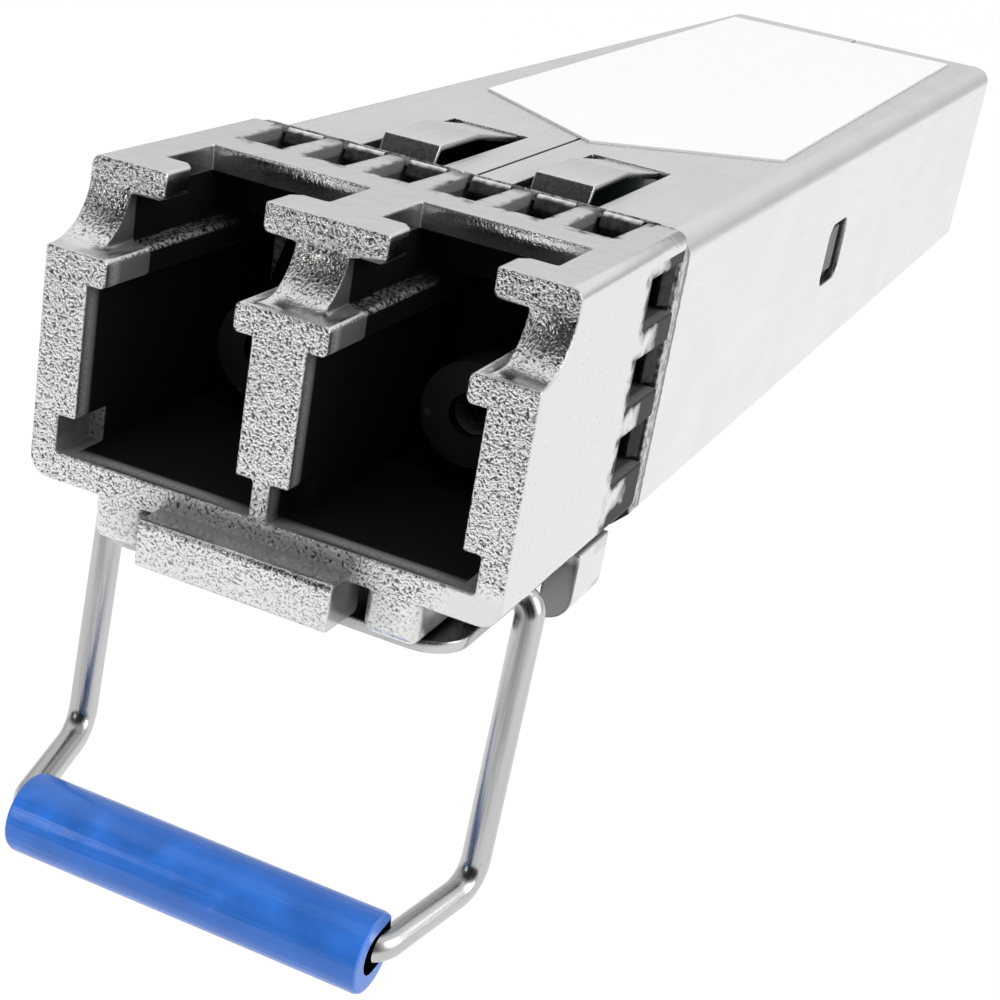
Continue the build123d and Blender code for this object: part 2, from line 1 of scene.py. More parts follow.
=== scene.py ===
# %% [markdown]
# # A pluggable optical transceiver, dressed for a studio picture
# The module has a die-cast nose with two fibre ports, a sheet cover with spring fingers, a wire bail with a
# blue sleeve and a rocking latch plate. Its solids come ready made and to size. This script gives them
# softened edges and finishes, remakes a few repeating pieces, and sets up the light and the camera.

# %% Load the solids, with a helper for a part's box
import json
from math import cos, pi, radians, sin

import bmesh
import bpy
from mathutils import Matrix, Vector


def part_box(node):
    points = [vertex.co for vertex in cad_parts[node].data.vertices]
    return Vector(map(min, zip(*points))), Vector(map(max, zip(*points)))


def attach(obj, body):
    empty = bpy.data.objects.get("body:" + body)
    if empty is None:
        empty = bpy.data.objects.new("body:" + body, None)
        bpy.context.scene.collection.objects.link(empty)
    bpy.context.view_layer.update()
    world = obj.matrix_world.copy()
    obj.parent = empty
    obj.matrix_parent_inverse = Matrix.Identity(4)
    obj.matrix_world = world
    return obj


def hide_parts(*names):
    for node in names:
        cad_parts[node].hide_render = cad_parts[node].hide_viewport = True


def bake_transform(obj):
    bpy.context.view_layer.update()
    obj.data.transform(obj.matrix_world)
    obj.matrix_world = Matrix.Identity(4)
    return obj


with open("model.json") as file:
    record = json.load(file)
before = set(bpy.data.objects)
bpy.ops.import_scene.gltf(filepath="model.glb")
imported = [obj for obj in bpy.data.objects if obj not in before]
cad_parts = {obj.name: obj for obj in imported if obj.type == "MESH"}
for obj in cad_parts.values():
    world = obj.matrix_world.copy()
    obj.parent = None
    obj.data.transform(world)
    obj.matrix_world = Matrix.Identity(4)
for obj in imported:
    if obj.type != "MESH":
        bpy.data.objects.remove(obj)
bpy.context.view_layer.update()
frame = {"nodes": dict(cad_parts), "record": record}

MM = 0.001

# %% [markdown]
# ## The camera
# The picture was taken close by, slightly from the right and from above, with the camera tilted a little.
# A camera could be aimed by hand with a tracking constraint. Here its place and its three angles are known
# in the module's own frame, so its turning matrix is built straight from them.

# %% Place the camera
CAMERA_PLACE = (20.19, -47.84, 16.504)
CAMERA_AZIMUTH, CAMERA_ELEVATION, CAMERA_ROLL = radians(-19.78), radians(-22.28), radians(10.17)
CAMERA_LENS = 69.07
SENSOR = 36.0


def aim(azimuth, elevation, roll):
    """The turning matrix of a camera that looks along a direction."""
    ahead = Vector((sin(azimuth) * cos(elevation), cos(azimuth) * cos(elevation), sin(elevation)))
    right = ahead.cross(Vector((0, 0, 1))).normalized()
    up = right.cross(ahead)
    side = right * cos(roll) + up * sin(roll)
    rise = up * cos(roll) - right * sin(roll)
    return Matrix((side, rise, -ahead)).transposed()


camera_data = bpy.data.cameras.new("camera")
camera_data.sensor_width = SENSOR
camera_data.lens = CAMERA_LENS
camera_data.clip_start = MM
camera = bpy.data.objects.new("camera", camera_data)
bpy.context.scene.collection.objects.link(camera)
turn = aim(CAMERA_AZIMUTH, CAMERA_ELEVATION, CAMERA_ROLL)
camera.matrix_world = Matrix.Translation(Vector(CAMERA_PLACE) * MM) @ turn.to_4x4()
bpy.context.scene.camera = camera
bpy.context.scene.view_settings.view_transform = "Standard"
print("camera at", [round(v, 4) for v in camera.location])

# %% [markdown]
# ## Small helpers for node trees
# Every finish below is a tree of nodes. These helpers add a node with its settings and its inputs in one
# line, and make a group with named sockets, which keeps each later cell short.


# %% Node helpers
def put(tree, kind, settings=None, **inputs):
    """Add a node, set its properties, and set or link its inputs by name."""
    node = tree.nodes.new(kind)
    for key, value in (settings or {}).items():
        setattr(node, key, value)
    for key, value in inputs.items():
        wire(tree, node, key.replace("_", " "), value)
    return node


def wire(tree, node, key, value):
    """Set one input, given by its name or its place, to a value or to another node's output."""
    socket = node.inputs[key] if isinstance(key, int) else next(s for s in node.inputs if s.name == key and s.enabled)
    if isinstance(value, bpy.types.NodeSocket):
        tree.links.new(value, socket)
    else:
        socket.default_value = value


def maths(tree, operation, *values):
    """A Math node; gives its output."""
    node = tree.nodes.new("ShaderNodeMath")
    node.operation = operation
    for index, value in enumerate(values):
        wire(tree, node, index, value)
    return node.outputs[0]


def grey(value):
    """A colour without hue."""
    return (value, value, value, 1.0)


def blend(tree, factor, first, second):
    """Mix two colours."""
    node = tree.nodes.new("ShaderNodeMix")
    node.data_type = "RGBA"
    for index, value in ((0, factor), (6, first), (7, second)):
        wire(tree, node, index, value)
    return node.outputs[2]


def spread(tree, value, low, high, out_low=0.0, out_high=1.0):
    """Stretch a value from one range to another and hold it there; a mask when no second range is given."""
    node = put(tree, "ShaderNodeMapRange", None, Value=value)
    for key, number in (("From Min", low), ("From Max", high), ("To Min", out_low), ("To Max", out_high)):
        wire(tree, node, key, number)
    return node.outputs[0]


def new_group(name, inputs, outputs, family="ShaderNodeTree"):
    """A node group with named sockets; inputs are (name, kind, value)."""
    tree = bpy.data.node_groups.new(name, family)
    for title, kind, value in inputs:
        socket = tree.interface.new_socket(title, in_out="INPUT", socket_type=kind)
        if value is not None:
            socket.default_value = value
    for title, kind in outputs:
        tree.interface.new_socket(title, in_out="OUTPUT", socket_type=kind)
    return tree, tree.nodes.new("NodeGroupInput").outputs, tree.nodes.new("NodeGroupOutput")


WHITE = grey(1.0)
FLOAT, VECTOR, WHOLE = "NodeSocketFloat", "NodeSocketVector", "NodeSocketInt"
GEOMETRY, MATERIAL = "NodeSocketGeometry", "NodeSocketMaterial"
print("node helpers ready")

# %% [markdown]
# ## The studio
# The object was photographed on white with soft light all round, and the room behind the camera was dark.
# Bright metal shows what is around it, so that dark side is what draws the grain and the streaks in the
# metal. It could be made with black cards. A gradient in the world does the same for every view: white
# below, pale above the back and, for bright metal only, black to the front.

# %% World light
# These are the numbers of one spread() each: from, to, and what the value is at the one and at the other.
ROOM_DARK_SIDE = Vector((0.0, -1.0, 0.25)).normalized()
FLOOR_GLOW, BACK_GLOW = (-0.25, 0.08, 1.0, 0.46), (0.0, 0.5, 0.0, 0.49)
DARK_SIDE_FADE = (0.2, 0.6, 1.0, 0.02)


def build_world():
    """White to the camera; to bright metal a pale room with a dark side."""
    world = bpy.data.worlds.new("studio")
    world.use_nodes = True
    tree = world.node_tree
    tree.nodes.clear()
    direction = put(tree, "ShaderNodeTexCoord").outputs["Generated"]
    height = put(tree, "ShaderNodeSeparateXYZ", None, Vector=direction)
    low = spread(tree, height.outputs["Z"], *FLOOR_GLOW)
    high = spread(tree, height.outputs["Z"], *BACK_GLOW)
    ring = maths(tree, "ADD", low, high)
    front = put(tree, "ShaderNodeVectorMath", {"operation": "DOT_PRODUCT"})
    wire(tree, front, 0, direction)
    wire(tree, front, 1, ROOM_DARK_SIDE)
    shade = spread(tree, front.outputs["Value"], *DARK_SIDE_FADE)
    path = put(tree, "ShaderNodeLightPath").outputs
    lost = maths(tree, "MULTIPLY", path["Is Glossy Ray"], maths(tree, "SUBTRACT", 1.0, shade))
    room = maths(tree, "MULTIPLY", ring, maths(tree, "SUBTRACT", 1.0, lost))
    seen = maths(tree, "MAXIMUM", path["Is Camera Ray"], path["Is Transmission Ray"])
    level = maths(tree, "ADD", seen, maths(tree, "MULTIPLY", maths(tree, "SUBTRACT", 1.0, seen), room))
    shader = put(tree, "ShaderNodeBackground", None, Color=WHITE, Strength=level)
    put(tree, "ShaderNodeOutputWorld", None, Surface=shader.outputs[0])
    bpy.context.scene.world = world
    print("world nodes:", len(tree.nodes))


build_world()

# %% [markdown]
# ## The floor
# The floor is a plain pale sheet under the module. A ray from the camera sees it as white paper. Bright
# metal sees it white close by and dark further to the front, where the sheet ends in the dark room. Every
# other ray sees a matt white surface, so that the sheet keeps a soft shadow.

# %% Floor
FLOOR_HEIGHT = -32 * MM
FLOOR_SIZE = 0.9
FLOOR_WHITE_SHARE = 0.97
PAPER = grey(0.9)
FLOOR_FADE_START, FLOOR_FADE_END = -94 * MM, -116 * MM


def lay_floor():
    """A square sheet, white to the camera and to nearby metal, matt to every other ray."""
    mesh = bpy.data.meshes.new("floor")
    half = FLOOR_SIZE / 2
    corners = [(x * half, y * half, FLOOR_HEIGHT) for x, y in ((-1, -1), (1, -1), (1, 1), (-1, 1))]
    mesh.from_pydata(corners, [], [(0, 1, 2, 3)])
    floor = bpy.data.objects.new("floor", mesh)
    bpy.context.scene.collection.objects.link(floor)
    paper = bpy.data.materials.new("white_paper")
    paper.use_nodes = True
    tree = paper.node_tree
    tree.nodes.clear()
    matt = put(tree, "ShaderNodeBsdfDiffuse", None, Color=PAPER)
    path = put(tree, "ShaderNodeLightPath").outputs
    place = put(tree, "ShaderNodeNewGeometry").outputs["Position"]
    forward = put(tree, "ShaderNodeSeparateXYZ", None, Vector=place).outputs["Y"]
    near = spread(tree, forward, FLOOR_FADE_END, FLOOR_FADE_START)
    seen = maths(tree, "MAXIMUM", path["Is Camera Ray"], path["Is Transmission Ray"])
    level = maths(tree, "MAXIMUM", seen, maths(tree, "MULTIPLY", path["Is Glossy Ray"], near))
    glow = put(tree, "ShaderNodeEmission", None, Color=WHITE, Strength=level)
    share = maths(tree, "MULTIPLY", maths(tree, "MAXIMUM", seen, path["Is Glossy Ray"]), FLOOR_WHITE_SHARE)
    mix = put(tree, "ShaderNodeMixShader")
    for key, value in ((0, share), (1, matt.outputs[0]), (2, glow.outputs[0])):
        wire(tree, mix, key, value)
    put(tree, "ShaderNodeOutputMaterial", None, Surface=mix.outputs[0])
    mesh.materials.append(paper)
    print("floor at", round(FLOOR_HEIGHT / MM), "mm")


lay_floor()

# %% [markdown]
# ## The lamps
# Real studio lamps sit in wide soft boxes, and area lamps stand for them: a big one overhead, one to the
# right for the long side and a narrow one in front that draws a thin light along the blue sleeve. Bright
# metal would mirror the big one as a white sheet when it is seen from above, so that lamp only lights and
# isn't mirrored.


# %% Lamps
def hang_lamp(name, place, target, size, watts, mirrored=True):
    """An area lamp at a place, turned to a target, both in millimetres."""
    data = bpy.data.lights.new(name, "AREA")
    data.shape = "RECTANGLE"
    data.size, data.size_y = size[0] * MM, size[1] * MM
    data.energy = watts
    lamp = bpy.data.objects.new(name, data)
    bpy.context.scene.collection.objects.link(lamp)
    lamp.visible_glossy = mirrored
    start, end = Vector(place) * MM, Vector(target) * MM
    lamp.matrix_world = Matrix.Translation(start) @ (end - start).to_track_quat("-Z", "Y").to_matrix().to_4x4()


hang_lamp("lamp_overhead", (-50, 25, 150), (0, 5, 0), (240, 170), 0.135, mirrored=False)
hang_lamp("lamp_right", (150, 10, 60), (0, 5, 0), (80, 110), 0.10)
hang_lamp("lamp_front", (-70, -120, 30), (0, -5, -5), (14, 50), 0.012)
print("lamps:", [lamp.name for lamp in bpy.data.lights])

# %% [markdown]
# ## Shared surface effects
# Several finishes need the same things: the skin of a casting, edges that catch the light, lines left by
# rolling or drawing, and fine dust. Each is one group that is built once and used with its own values.
# All of them work on the object's own coordinates, turned to millimetres, so a size in a group is a size
# on the part.

# %% Millimetre coordinates
GROUPS = {}


def group_millimetres():
    """The object's own coordinates in millimetres."""
    tree, _, out = new_group("millimetres", [], [("Vector", VECTOR)])
    place = put(tree, "ShaderNodeTexCoord").outputs["Object"]
    scaled = put(tree, "ShaderNodeVectorMath", {"operation": "SCALE"}, Vector=place, Scale=1 / MM)
    wire(tree, out, "Vector", scaled.outputs[0])
    return tree


GROUPS["millimetres"] = group_millimetres()
print("made the group millimetres")

# %% [markdown]
# A die casting that isn't polished has a skin of tiny pebbles. Noise alone looks like cloud. Cells of one
# size, bent a little so that they don't line up, give the domes, and finer noise roughens them. The valleys
# between the domes come out as a mask of their own, which the casting's finish uses for painted shade in them.

# %% Cast skin
DOME_SHARE = 0.5
BEND_SCALE, BEND_AMOUNT, CELL_SMOOTHNESS = 3.0, 0.16, 0.6
VALLEYS = (0.53, 0.72, 1.0, 0.0)


def group_cast_skin():
    """Pebbled skin: rounded bumps of one size with finer ones on them."""
    tree, given, out = new_group(
        "cast_skin",
        [("Vector", VECTOR, None), ("Pebbles per mm", FLOAT, 9.0), ("Fine share", FLOAT, 1.0)],
        [("Height", FLOAT), ("Pits", FLOAT)],
    )
    warp = put(tree, "ShaderNodeTexNoise", None, Vector=given["Vector"], Scale=BEND_SCALE, Detail=1.0)
    bend = put(tree, "ShaderNodeVectorMath", {"operation": "SCALE"}, Vector=warp.outputs["Color"],
               Scale=BEND_AMOUNT)
    moved = put(tree, "ShaderNodeVectorMath", {"operation": "ADD"})
    wire(tree, moved, 0, given["Vector"])
    wire(tree, moved, 1, bend.outputs[0])
    cells = put(tree, "ShaderNodeTexVoronoi", {"feature": "SMOOTH_F1"}, Vector=moved.outputs[0],
                Scale=given["Pebbles per mm"], Smoothness=CELL_SMOOTHNESS)
    fine = put(tree, "ShaderNodeTexNoise", None, Vector=moved.outputs[0], Scale=given["Pebbles per mm"], Detail=3.0)
    dome = maths(tree, "MULTIPLY", maths(tree, "SUBTRACT", 1.0, cells.outputs["Distance"]), DOME_SHARE)
    height = maths(tree, "ADD", dome, maths(tree, "MULTIPLY", fine.outputs[0], given["Fine share"]))
    wire(tree, out, "Height", height)
    wire(tree, out, "Pits", spread(tree, height, *VALLEYS))
    return tree


GROUPS["cast_skin"] = group_cast_skin()
print("made the group cast_skin")

# %% [markdown]
# Handling rubs metal bright along its edges, and a rounded edge catches the light, so the finishes paint edges
# brighter: partly wear, partly a painted highlight. The Bevel node gives the normal that a rounded edge would
# have. Where that differs from the face's own normal there is an edge, and the difference is the mask.

# %% Edges
EDGE_TURN = (0.97, 0.80, 0.0, 1.0)
EDGE_SAMPLES = 3


def group_edges():
    """A mask of the edges and the normal of a softly rounded edge."""
    tree, given, out = new_group("edges", [("Radius mm", FLOAT, 0.1)], [("Mask", FLOAT), ("Normal", VECTOR)])
    radius = maths(tree, "MULTIPLY", given["Radius mm"], MM)
    rounded = put(tree, "ShaderNodeBevel", {"samples": EDGE_SAMPLES}, Radius=radius)
    flat = put(tree, "ShaderNodeNewGeometry").outputs["Normal"]
    likeness = put(tree, "ShaderNodeVectorMath", {"operation": "DOT_PRODUCT"})
    wire(tree, likeness, 0, rounded.outputs[0])
    wire(tree, likeness, 1, flat)
    wire(tree, out, "Mask", spread(tree, likeness.outputs["Value"], *EDGE_TURN))
    wire(tree, out, "Normal", rounded.outputs[0])
    return tree


GROUPS["edges"] = group_edges()
print("made the group edges")

# %% [markdown]
# Hollows get painted shade, darker than the light alone makes them. The Ambient Occlusion node measures how
# closed in a point is.

# %% Hollows
CLOSED_IN = (0.80, 0.42, 0.0, 1.0)
HOLLOW_SAMPLES = 2


def group_hollows():
    """How deep a point lies in a hollow, from how little of the room is open close to it."""
    tree, given, out = new_group("hollows", [("Reach mm", FLOAT, 1.0)], [("Mask", FLOAT)])
    reach = maths(tree, "MULTIPLY", given["Reach mm"], MM)
    nearby = put(tree, "ShaderNodeAmbientOcclusion", {"samples": HOLLOW_SAMPLES}, Distance=reach)
    wire(tree, out, "Mask", spread(tree, nearby.outputs["AO"], *CLOSED_IN))
    return tree


GROUPS["hollows"] = group_hollows()
print("made the group hollows")

# %% [markdown]
# Rolling a sheet or drawing a wire leaves long fine lines. Noise whose coordinates are squeezed across the
# lines and stretched along them looks the same, and a second, much wider one gives slow streaks of colour.

# %% Rolled and drawn lines
LINE_SCALE, STREAK_SCALE, STREAK_RANGE = 2.0, 0.22, (0.35, 0.65)


def group_lines():
    """Fine lines along one direction, as rolling, grinding or drawing leaves them."""
    tree, given, out = new_group(
        "lines",
        [("Vector", VECTOR, None), ("Stretch", VECTOR, (9.0, 0.12, 9.0))],
        [("Height", FLOAT), ("Streaks", FLOAT)],
    )
    stretched = put(tree, "ShaderNodeVectorMath", {"operation": "MULTIPLY"})
    wire(tree, stretched, 0, given["Vector"])
    wire(tree, stretched, 1, given["Stretch"])
    close = put(tree, "ShaderNodeTexNoise", None, Vector=stretched.outputs[0], Scale=LINE_SCALE, Detail=3.0)
    wide = put(tree, "ShaderNodeTexNoise", None, Vector=stretched.outputs[0], Scale=STREAK_SCALE, Detail=1.0)
    wire(tree, out, "Height", close.outputs[0])
    wire(tree, out, "Streaks", spread(tree, wide.outputs[0], *STREAK_RANGE))
    return tree


GROUPS["lines"] = group_lines()
print("made the group lines")

# %% [markdown]
# Dust, pinholes in the plating and small handling marks are sparse and each has its own place. Cells give
# the places, and a random value in each cell decides whether it gets a spot.

# %% Specks
SPOT = (0.10, 0.22, 1.0, 0.0)


def group_specks():
    """Sparse small spots: dust, pinholes in the plating, handling marks."""
    tree, given, out = new_group(
        "specks",
        [("Vector", VECTOR, None), ("Per mm", FLOAT, 3.0), ("Amount", FLOAT, 0.2)],
        [("Mask", FLOAT)],
    )
    cells = put(tree, "ShaderNodeTexVoronoi", None, Vector=given["Vector"], Scale=given["Per mm"])
    spot = spread(tree, cells.outputs["Distance"], *SPOT)
    chance = put(tree, "ShaderNodeSeparateColor", None, Color=cells.outputs["Color"]).outputs[0]
    chosen = maths(tree, "LESS_THAN", chance, given["Amount"])
    wire(tree, out, "Mask", maths(tree, "MULTIPLY", spot, chosen))
    return tree


GROUPS["specks"] = group_specks()
print("groups:", sorted(GROUPS))

# %% [markdown]
# ## Helpers for materials
# Each material starts from a Principled shader. A number that is the same all over is set on the shader's
# own socket, and what changes over the surface is linked. Depths of bumps are given in millimetres.


# %% Material helpers
def use(tree, name, **inputs):
    """Place one of the groups in a material."""
    node = tree.nodes.new("ShaderNodeGroup")
    node.node_tree = GROUPS[name]
    for key, value in inputs.items():
        wire(tree, node, key.replace("_", " "), value)
    return node.outputs


def start_material(name, **plain):
    """A material with a Principled shader; plain numbers are set on the shader's own sockets."""
    material = bpy.data.materials.new(name)
    material.use_nodes = True
    tree = material.node_tree
    shader = tree.nodes["Principled BSDF"]
    for key, value in plain.items():
        shader.inputs[key.replace("_", " ")].default_value = value
    return material, tree, shader


def bump(tree, height, depth_mm, strength=1.0, normal=None):
    """A Bump node whose depth is given in millimetres."""
    node = put(tree, "ShaderNodeBump", None, Height=height, Strength=strength, Distance=depth_mm * MM)
    if normal is not None:
        wire(tree, node, "Normal", normal)
    return node.outputs[0]


MATERIALS = {}
print("material helpers ready")

# %% [markdown]
# ## Nickel on a die casting
# The nose is a zinc die casting with bright nickel on it. Its front faces, which the die's parting side
# forms, have a coarse pebbled skin, while its top and sides are smooth with few pinholes. Deep inside the
# ports the colour is painted black as painted shade. One material could be split over faces by hand. Here masks
# made from the surface's direction and place do it, so they hold for any edge that is rounded later.
#
# ### The inside of the ports
# Hardly any light reaches into the ports, so their inside is painted black as painted shade. Only the brink of
# each plug ledge catches some through the notch in the roof, so a speckled line there, fading inwards, is left
# out of the painted black.

# %% Dark of the ports
PORT_DARK = (-8.95, -8.35)
PORT_HALF_WIDTH, PORT_LOW, PORT_HIGH = 5.56, -3.0, 3.8
SEAT_FLOOR, SEAT_REAR, LEDGE_TOP = 1.7, -7.25, 2.43
SIDE_FACING, SIDE_SHARE = (0.6, 0.8), 0.85
LEDGE_LIGHT = (-2.5, -8.0, 0.0, 0.9)
BRINK_START, BRINK_END = (LEDGE_TOP - 0.13, LEDGE_TOP - 0.08), (LEDGE_TOP + 0.06, LEDGE_TOP + 0.02)
SPECKLE_SCALE, SPECKLE_RANGE = 9.0, (0.40, 0.60)


def group_port_inside():
    """The inside of the two ports, without the hollow seats above their front edges."""
    tree, given, out = new_group("port_inside", [("Vector", VECTOR, None)], [("Mask", FLOAT)])
    axes = put(tree, "ShaderNodeSeparateXYZ", None, Vector=given["Vector"]).outputs
    facing = put(tree, "ShaderNodeSeparateXYZ", None,
                 Vector=put(tree, "ShaderNodeNewGeometry").outputs["Normal"]).outputs
    mask = spread(tree, axes["Y"], *PORT_DARK)
    for value, edge, past in (
        (maths(tree, "ABSOLUTE", axes["X"]), PORT_HALF_WIDTH, PORT_HALF_WIDTH + 0.02),
        (axes["Z"], PORT_LOW, PORT_LOW - 0.02),
        (axes["Z"], PORT_HIGH, PORT_HIGH + 0.02),
    ):
        mask = maths(tree, "MULTIPLY", mask, spread(tree, value, edge, past, 1.0, 0.0))
    below = spread(tree, axes["Z"], SEAT_FLOOR, SEAT_FLOOR + 0.05, 1.0, 0.0)
    behind = spread(tree, axes["Y"], SEAT_REAR, SEAT_REAR + 0.2)
    sideways = spread(tree, maths(tree, "ABSOLUTE", facing["X"]), *SIDE_FACING)
    kept = maths(tree, "MAXIMUM", maths(tree, "MAXIMUM", below, behind),
                 maths(tree, "MULTIPLY", sideways, SIDE_SHARE))
    speckle = put(tree, "ShaderNodeTexNoise", None, Vector=given["Vector"], Scale=SPECKLE_SCALE,
                  Detail=2.0).outputs[0]
    brink = maths(tree, "MULTIPLY", spread(tree, axes["Z"], *BRINK_START), spread(tree, axes["Z"], *BRINK_END))
    # a speckled strip on the ledge's brink that the painted black leaves out
    brink_speckle_lit = maths(tree, "MULTIPLY", spread(tree, speckle, *SPECKLE_RANGE), spread(tree, axes["Y"], *LEDGE_LIGHT))
    lit = maths(tree, "SUBTRACT", 1.0, maths(tree, "MULTIPLY", brink, brink_speckle_lit))
    wire(tree, out, "Mask", maths(tree, "MULTIPLY", maths(tree, "MULTIPLY", mask, kept), lit))
    return tree


GROUPS["port_inside"] = group_port_inside()
print("made the group port_inside")

# %% [markdown]
# ### The finger pockets
# Round the nose's rear the cover's fingers lie in pockets. The pockets get painted shade, and the ribs between
# them are rounded; painted shade darkens their flanks and grows towards the cover's edge. Their pitch is even,
# so a cosine along the row is high over a pocket and low on a rib, and noise keeps the borders from being straight.

# %% Pockets and ribs
POCKET_MOUTH, NOSE_TOP, NOSE_SIDE = -2.15, 4.5, 6.75
TOP_PITCH, SIDE_PITCH, SIDE_CENTRE = 1.95, 2.2, 0.78
TOP_RIB_DARK, SIDE_RIB_DARK, RIB_FLANK = (-0.6, 0.4), (-1.5, -0.7), (-0.95, -0.45)
RAGGED = (0.3, 0.7, -0.25, 0.25)
TOP_DEPTH, SIDE_DEPTH = (NOSE_TOP - 0.03, NOSE_TOP - 0.45), (NOSE_SIDE - 0.03, NOSE_SIDE - 0.35)
ON_TOP, ON_SIDE = (NOSE_TOP - 0.10, NOSE_TOP - 0.05), (NOSE_SIDE - 0.10, NOSE_SIDE - 0.05)
CORNER_ACROSS, CORNER_UP, LAST_RIB_UP = NOSE_SIDE - 0.8, NOSE_TOP - 0.35, NOSE_TOP - 0.45


def group_pockets():
    """Painted shade in the pockets round the nose's rear, which fades softly on the ribs between them."""
    tree, given, out = new_group("pockets", [("Vector", VECTOR, None)], [("Mask", FLOAT)])
    axes = put(tree, "ShaderNodeSeparateXYZ", None, Vector=given["Vector"]).outputs
    behind = spread(tree, axes["Y"], POCKET_MOUTH, POCKET_MOUTH + 0.2)
    across = maths(tree, "ABSOLUTE", axes["X"])
    top = maths(tree, "MULTIPLY", spread(tree, axes["Z"], *TOP_DEPTH),
                maths(tree, "LESS_THAN", across, CORNER_ACROSS))
    side = maths(tree, "MULTIPLY", spread(tree, across, *SIDE_DEPTH),
                 maths(tree, "LESS_THAN", maths(tree, "ABSOLUTE", axes["Z"]), CORNER_UP))
    deep = maths(tree, "MULTIPLY", behind, maths(tree, "MAXIMUM", top, side))
    uneven = put(tree, "ShaderNodeTexNoise", None, Vector=given["Vector"], Scale=2.2, Detail=4.0).outputs[0]
    shift = spread(tree, uneven, *RAGGED)
    near = spread(tree, maths(tree, "ADD", axes["Y"], shift), POCKET_MOUTH - 0.35, POCKET_MOUTH + 0.05)
    ribs = []
    for along, pitch, centre, dark in (("X", TOP_PITCH, TOP_PITCH / 2, TOP_RIB_DARK),
                                       ("Z", SIDE_PITCH, SIDE_CENTRE, SIDE_RIB_DARK)):
        turns = maths(tree, "DIVIDE", maths(tree, "SUBTRACT", axes[along], centre), pitch)
        wave = maths(tree, "COSINE", maths(tree, "MULTIPLY", turns, 2 * pi))
        flank = spread(tree, maths(tree, "ADD", wave, shift), *RIB_FLANK)
        under = spread(tree, maths(tree, "ADD", axes["Y"], shift), *dark)
        ribs.append(maths(tree, "MULTIPLY", near, maths(tree, "MAXIMUM", flank, under)))
    on_top = maths(tree, "MULTIPLY", spread(tree, axes["Z"], *ON_TOP),
                   maths(tree, "LESS_THAN", across, 3 * TOP_PITCH))
    on_side = maths(tree, "MULTIPLY", spread(tree, across, *ON_SIDE),
                    maths(tree, "LESS_THAN", maths(tree, "ABSOLUTE", axes["Z"]), LAST_RIB_UP))
    outer = maths(tree, "MAXIMUM", maths(tree, "MULTIPLY", ribs[0], on_top),
                  maths(tree, "MULTIPLY", ribs[1], on_side))
    wire(tree, out, "Mask", maths(tree, "MAXIMUM", deep, outer))
    return tree


GROUPS["pockets"] = group_pockets()
print("made the group pockets")

# %% [markdown]
# ### The casting's finish
# The masks are laid over each other from the plain nickel to the darkest places, which are painted shade. The
# grain is coarse on what faces the front, half as deep on the lip below, and gone from the sill's right corner.
# Places with painted shade lose their metal too, because a metal mirrors the white room at a flat angle however dark
# it is.

# %% Plated casting
PEBBLES_PER_MM, PEBBLE_DEPTH, SMOOTH_SHARE = 13.0, 0.026, 0.02
SWELL_SCALE, SWELL_DEPTH = 1.3, 0.02
CAST_EDGE, CAST_HOLLOW, PINHOLES_PER_MM, PINHOLE_AMOUNT = 0.08, 1.6, 5.5, 0.10
FRONT_FACING, GRAIN_REAR, LIP_GRAIN = (-0.20, -0.60), (-3.0, -4.5), (-3.4, -4.4, 1.0, 0.55)
CORNER_SLANT, CORNER_LOW = (6.2, 7.2), (-2.6, -3.0)
LUG_TOP, LUG_FRONT = (-3.9, -4.1), (-3.6, -3.4)
NICKEL, NICKEL_CROWN = (0.77, 0.77, 0.76, 1), (0.88, 0.88, 0.87, 1)
PAINTED_VALLEY_SHADE, NICKEL_SHADE, EDGE_WEAR_AND_HIGHLIGHT_NICKEL = grey(0.11), grey(0.10), (0.92, 0.92, 0.91, 1)
PINHOLE, PAINTED_HOLLOW_SHADE, PORT_BLACK = grey(0.30), grey(0.02), grey(0.008)
SKIN_GLOSS = (0.5, 1.1, 0.20, 0.10)


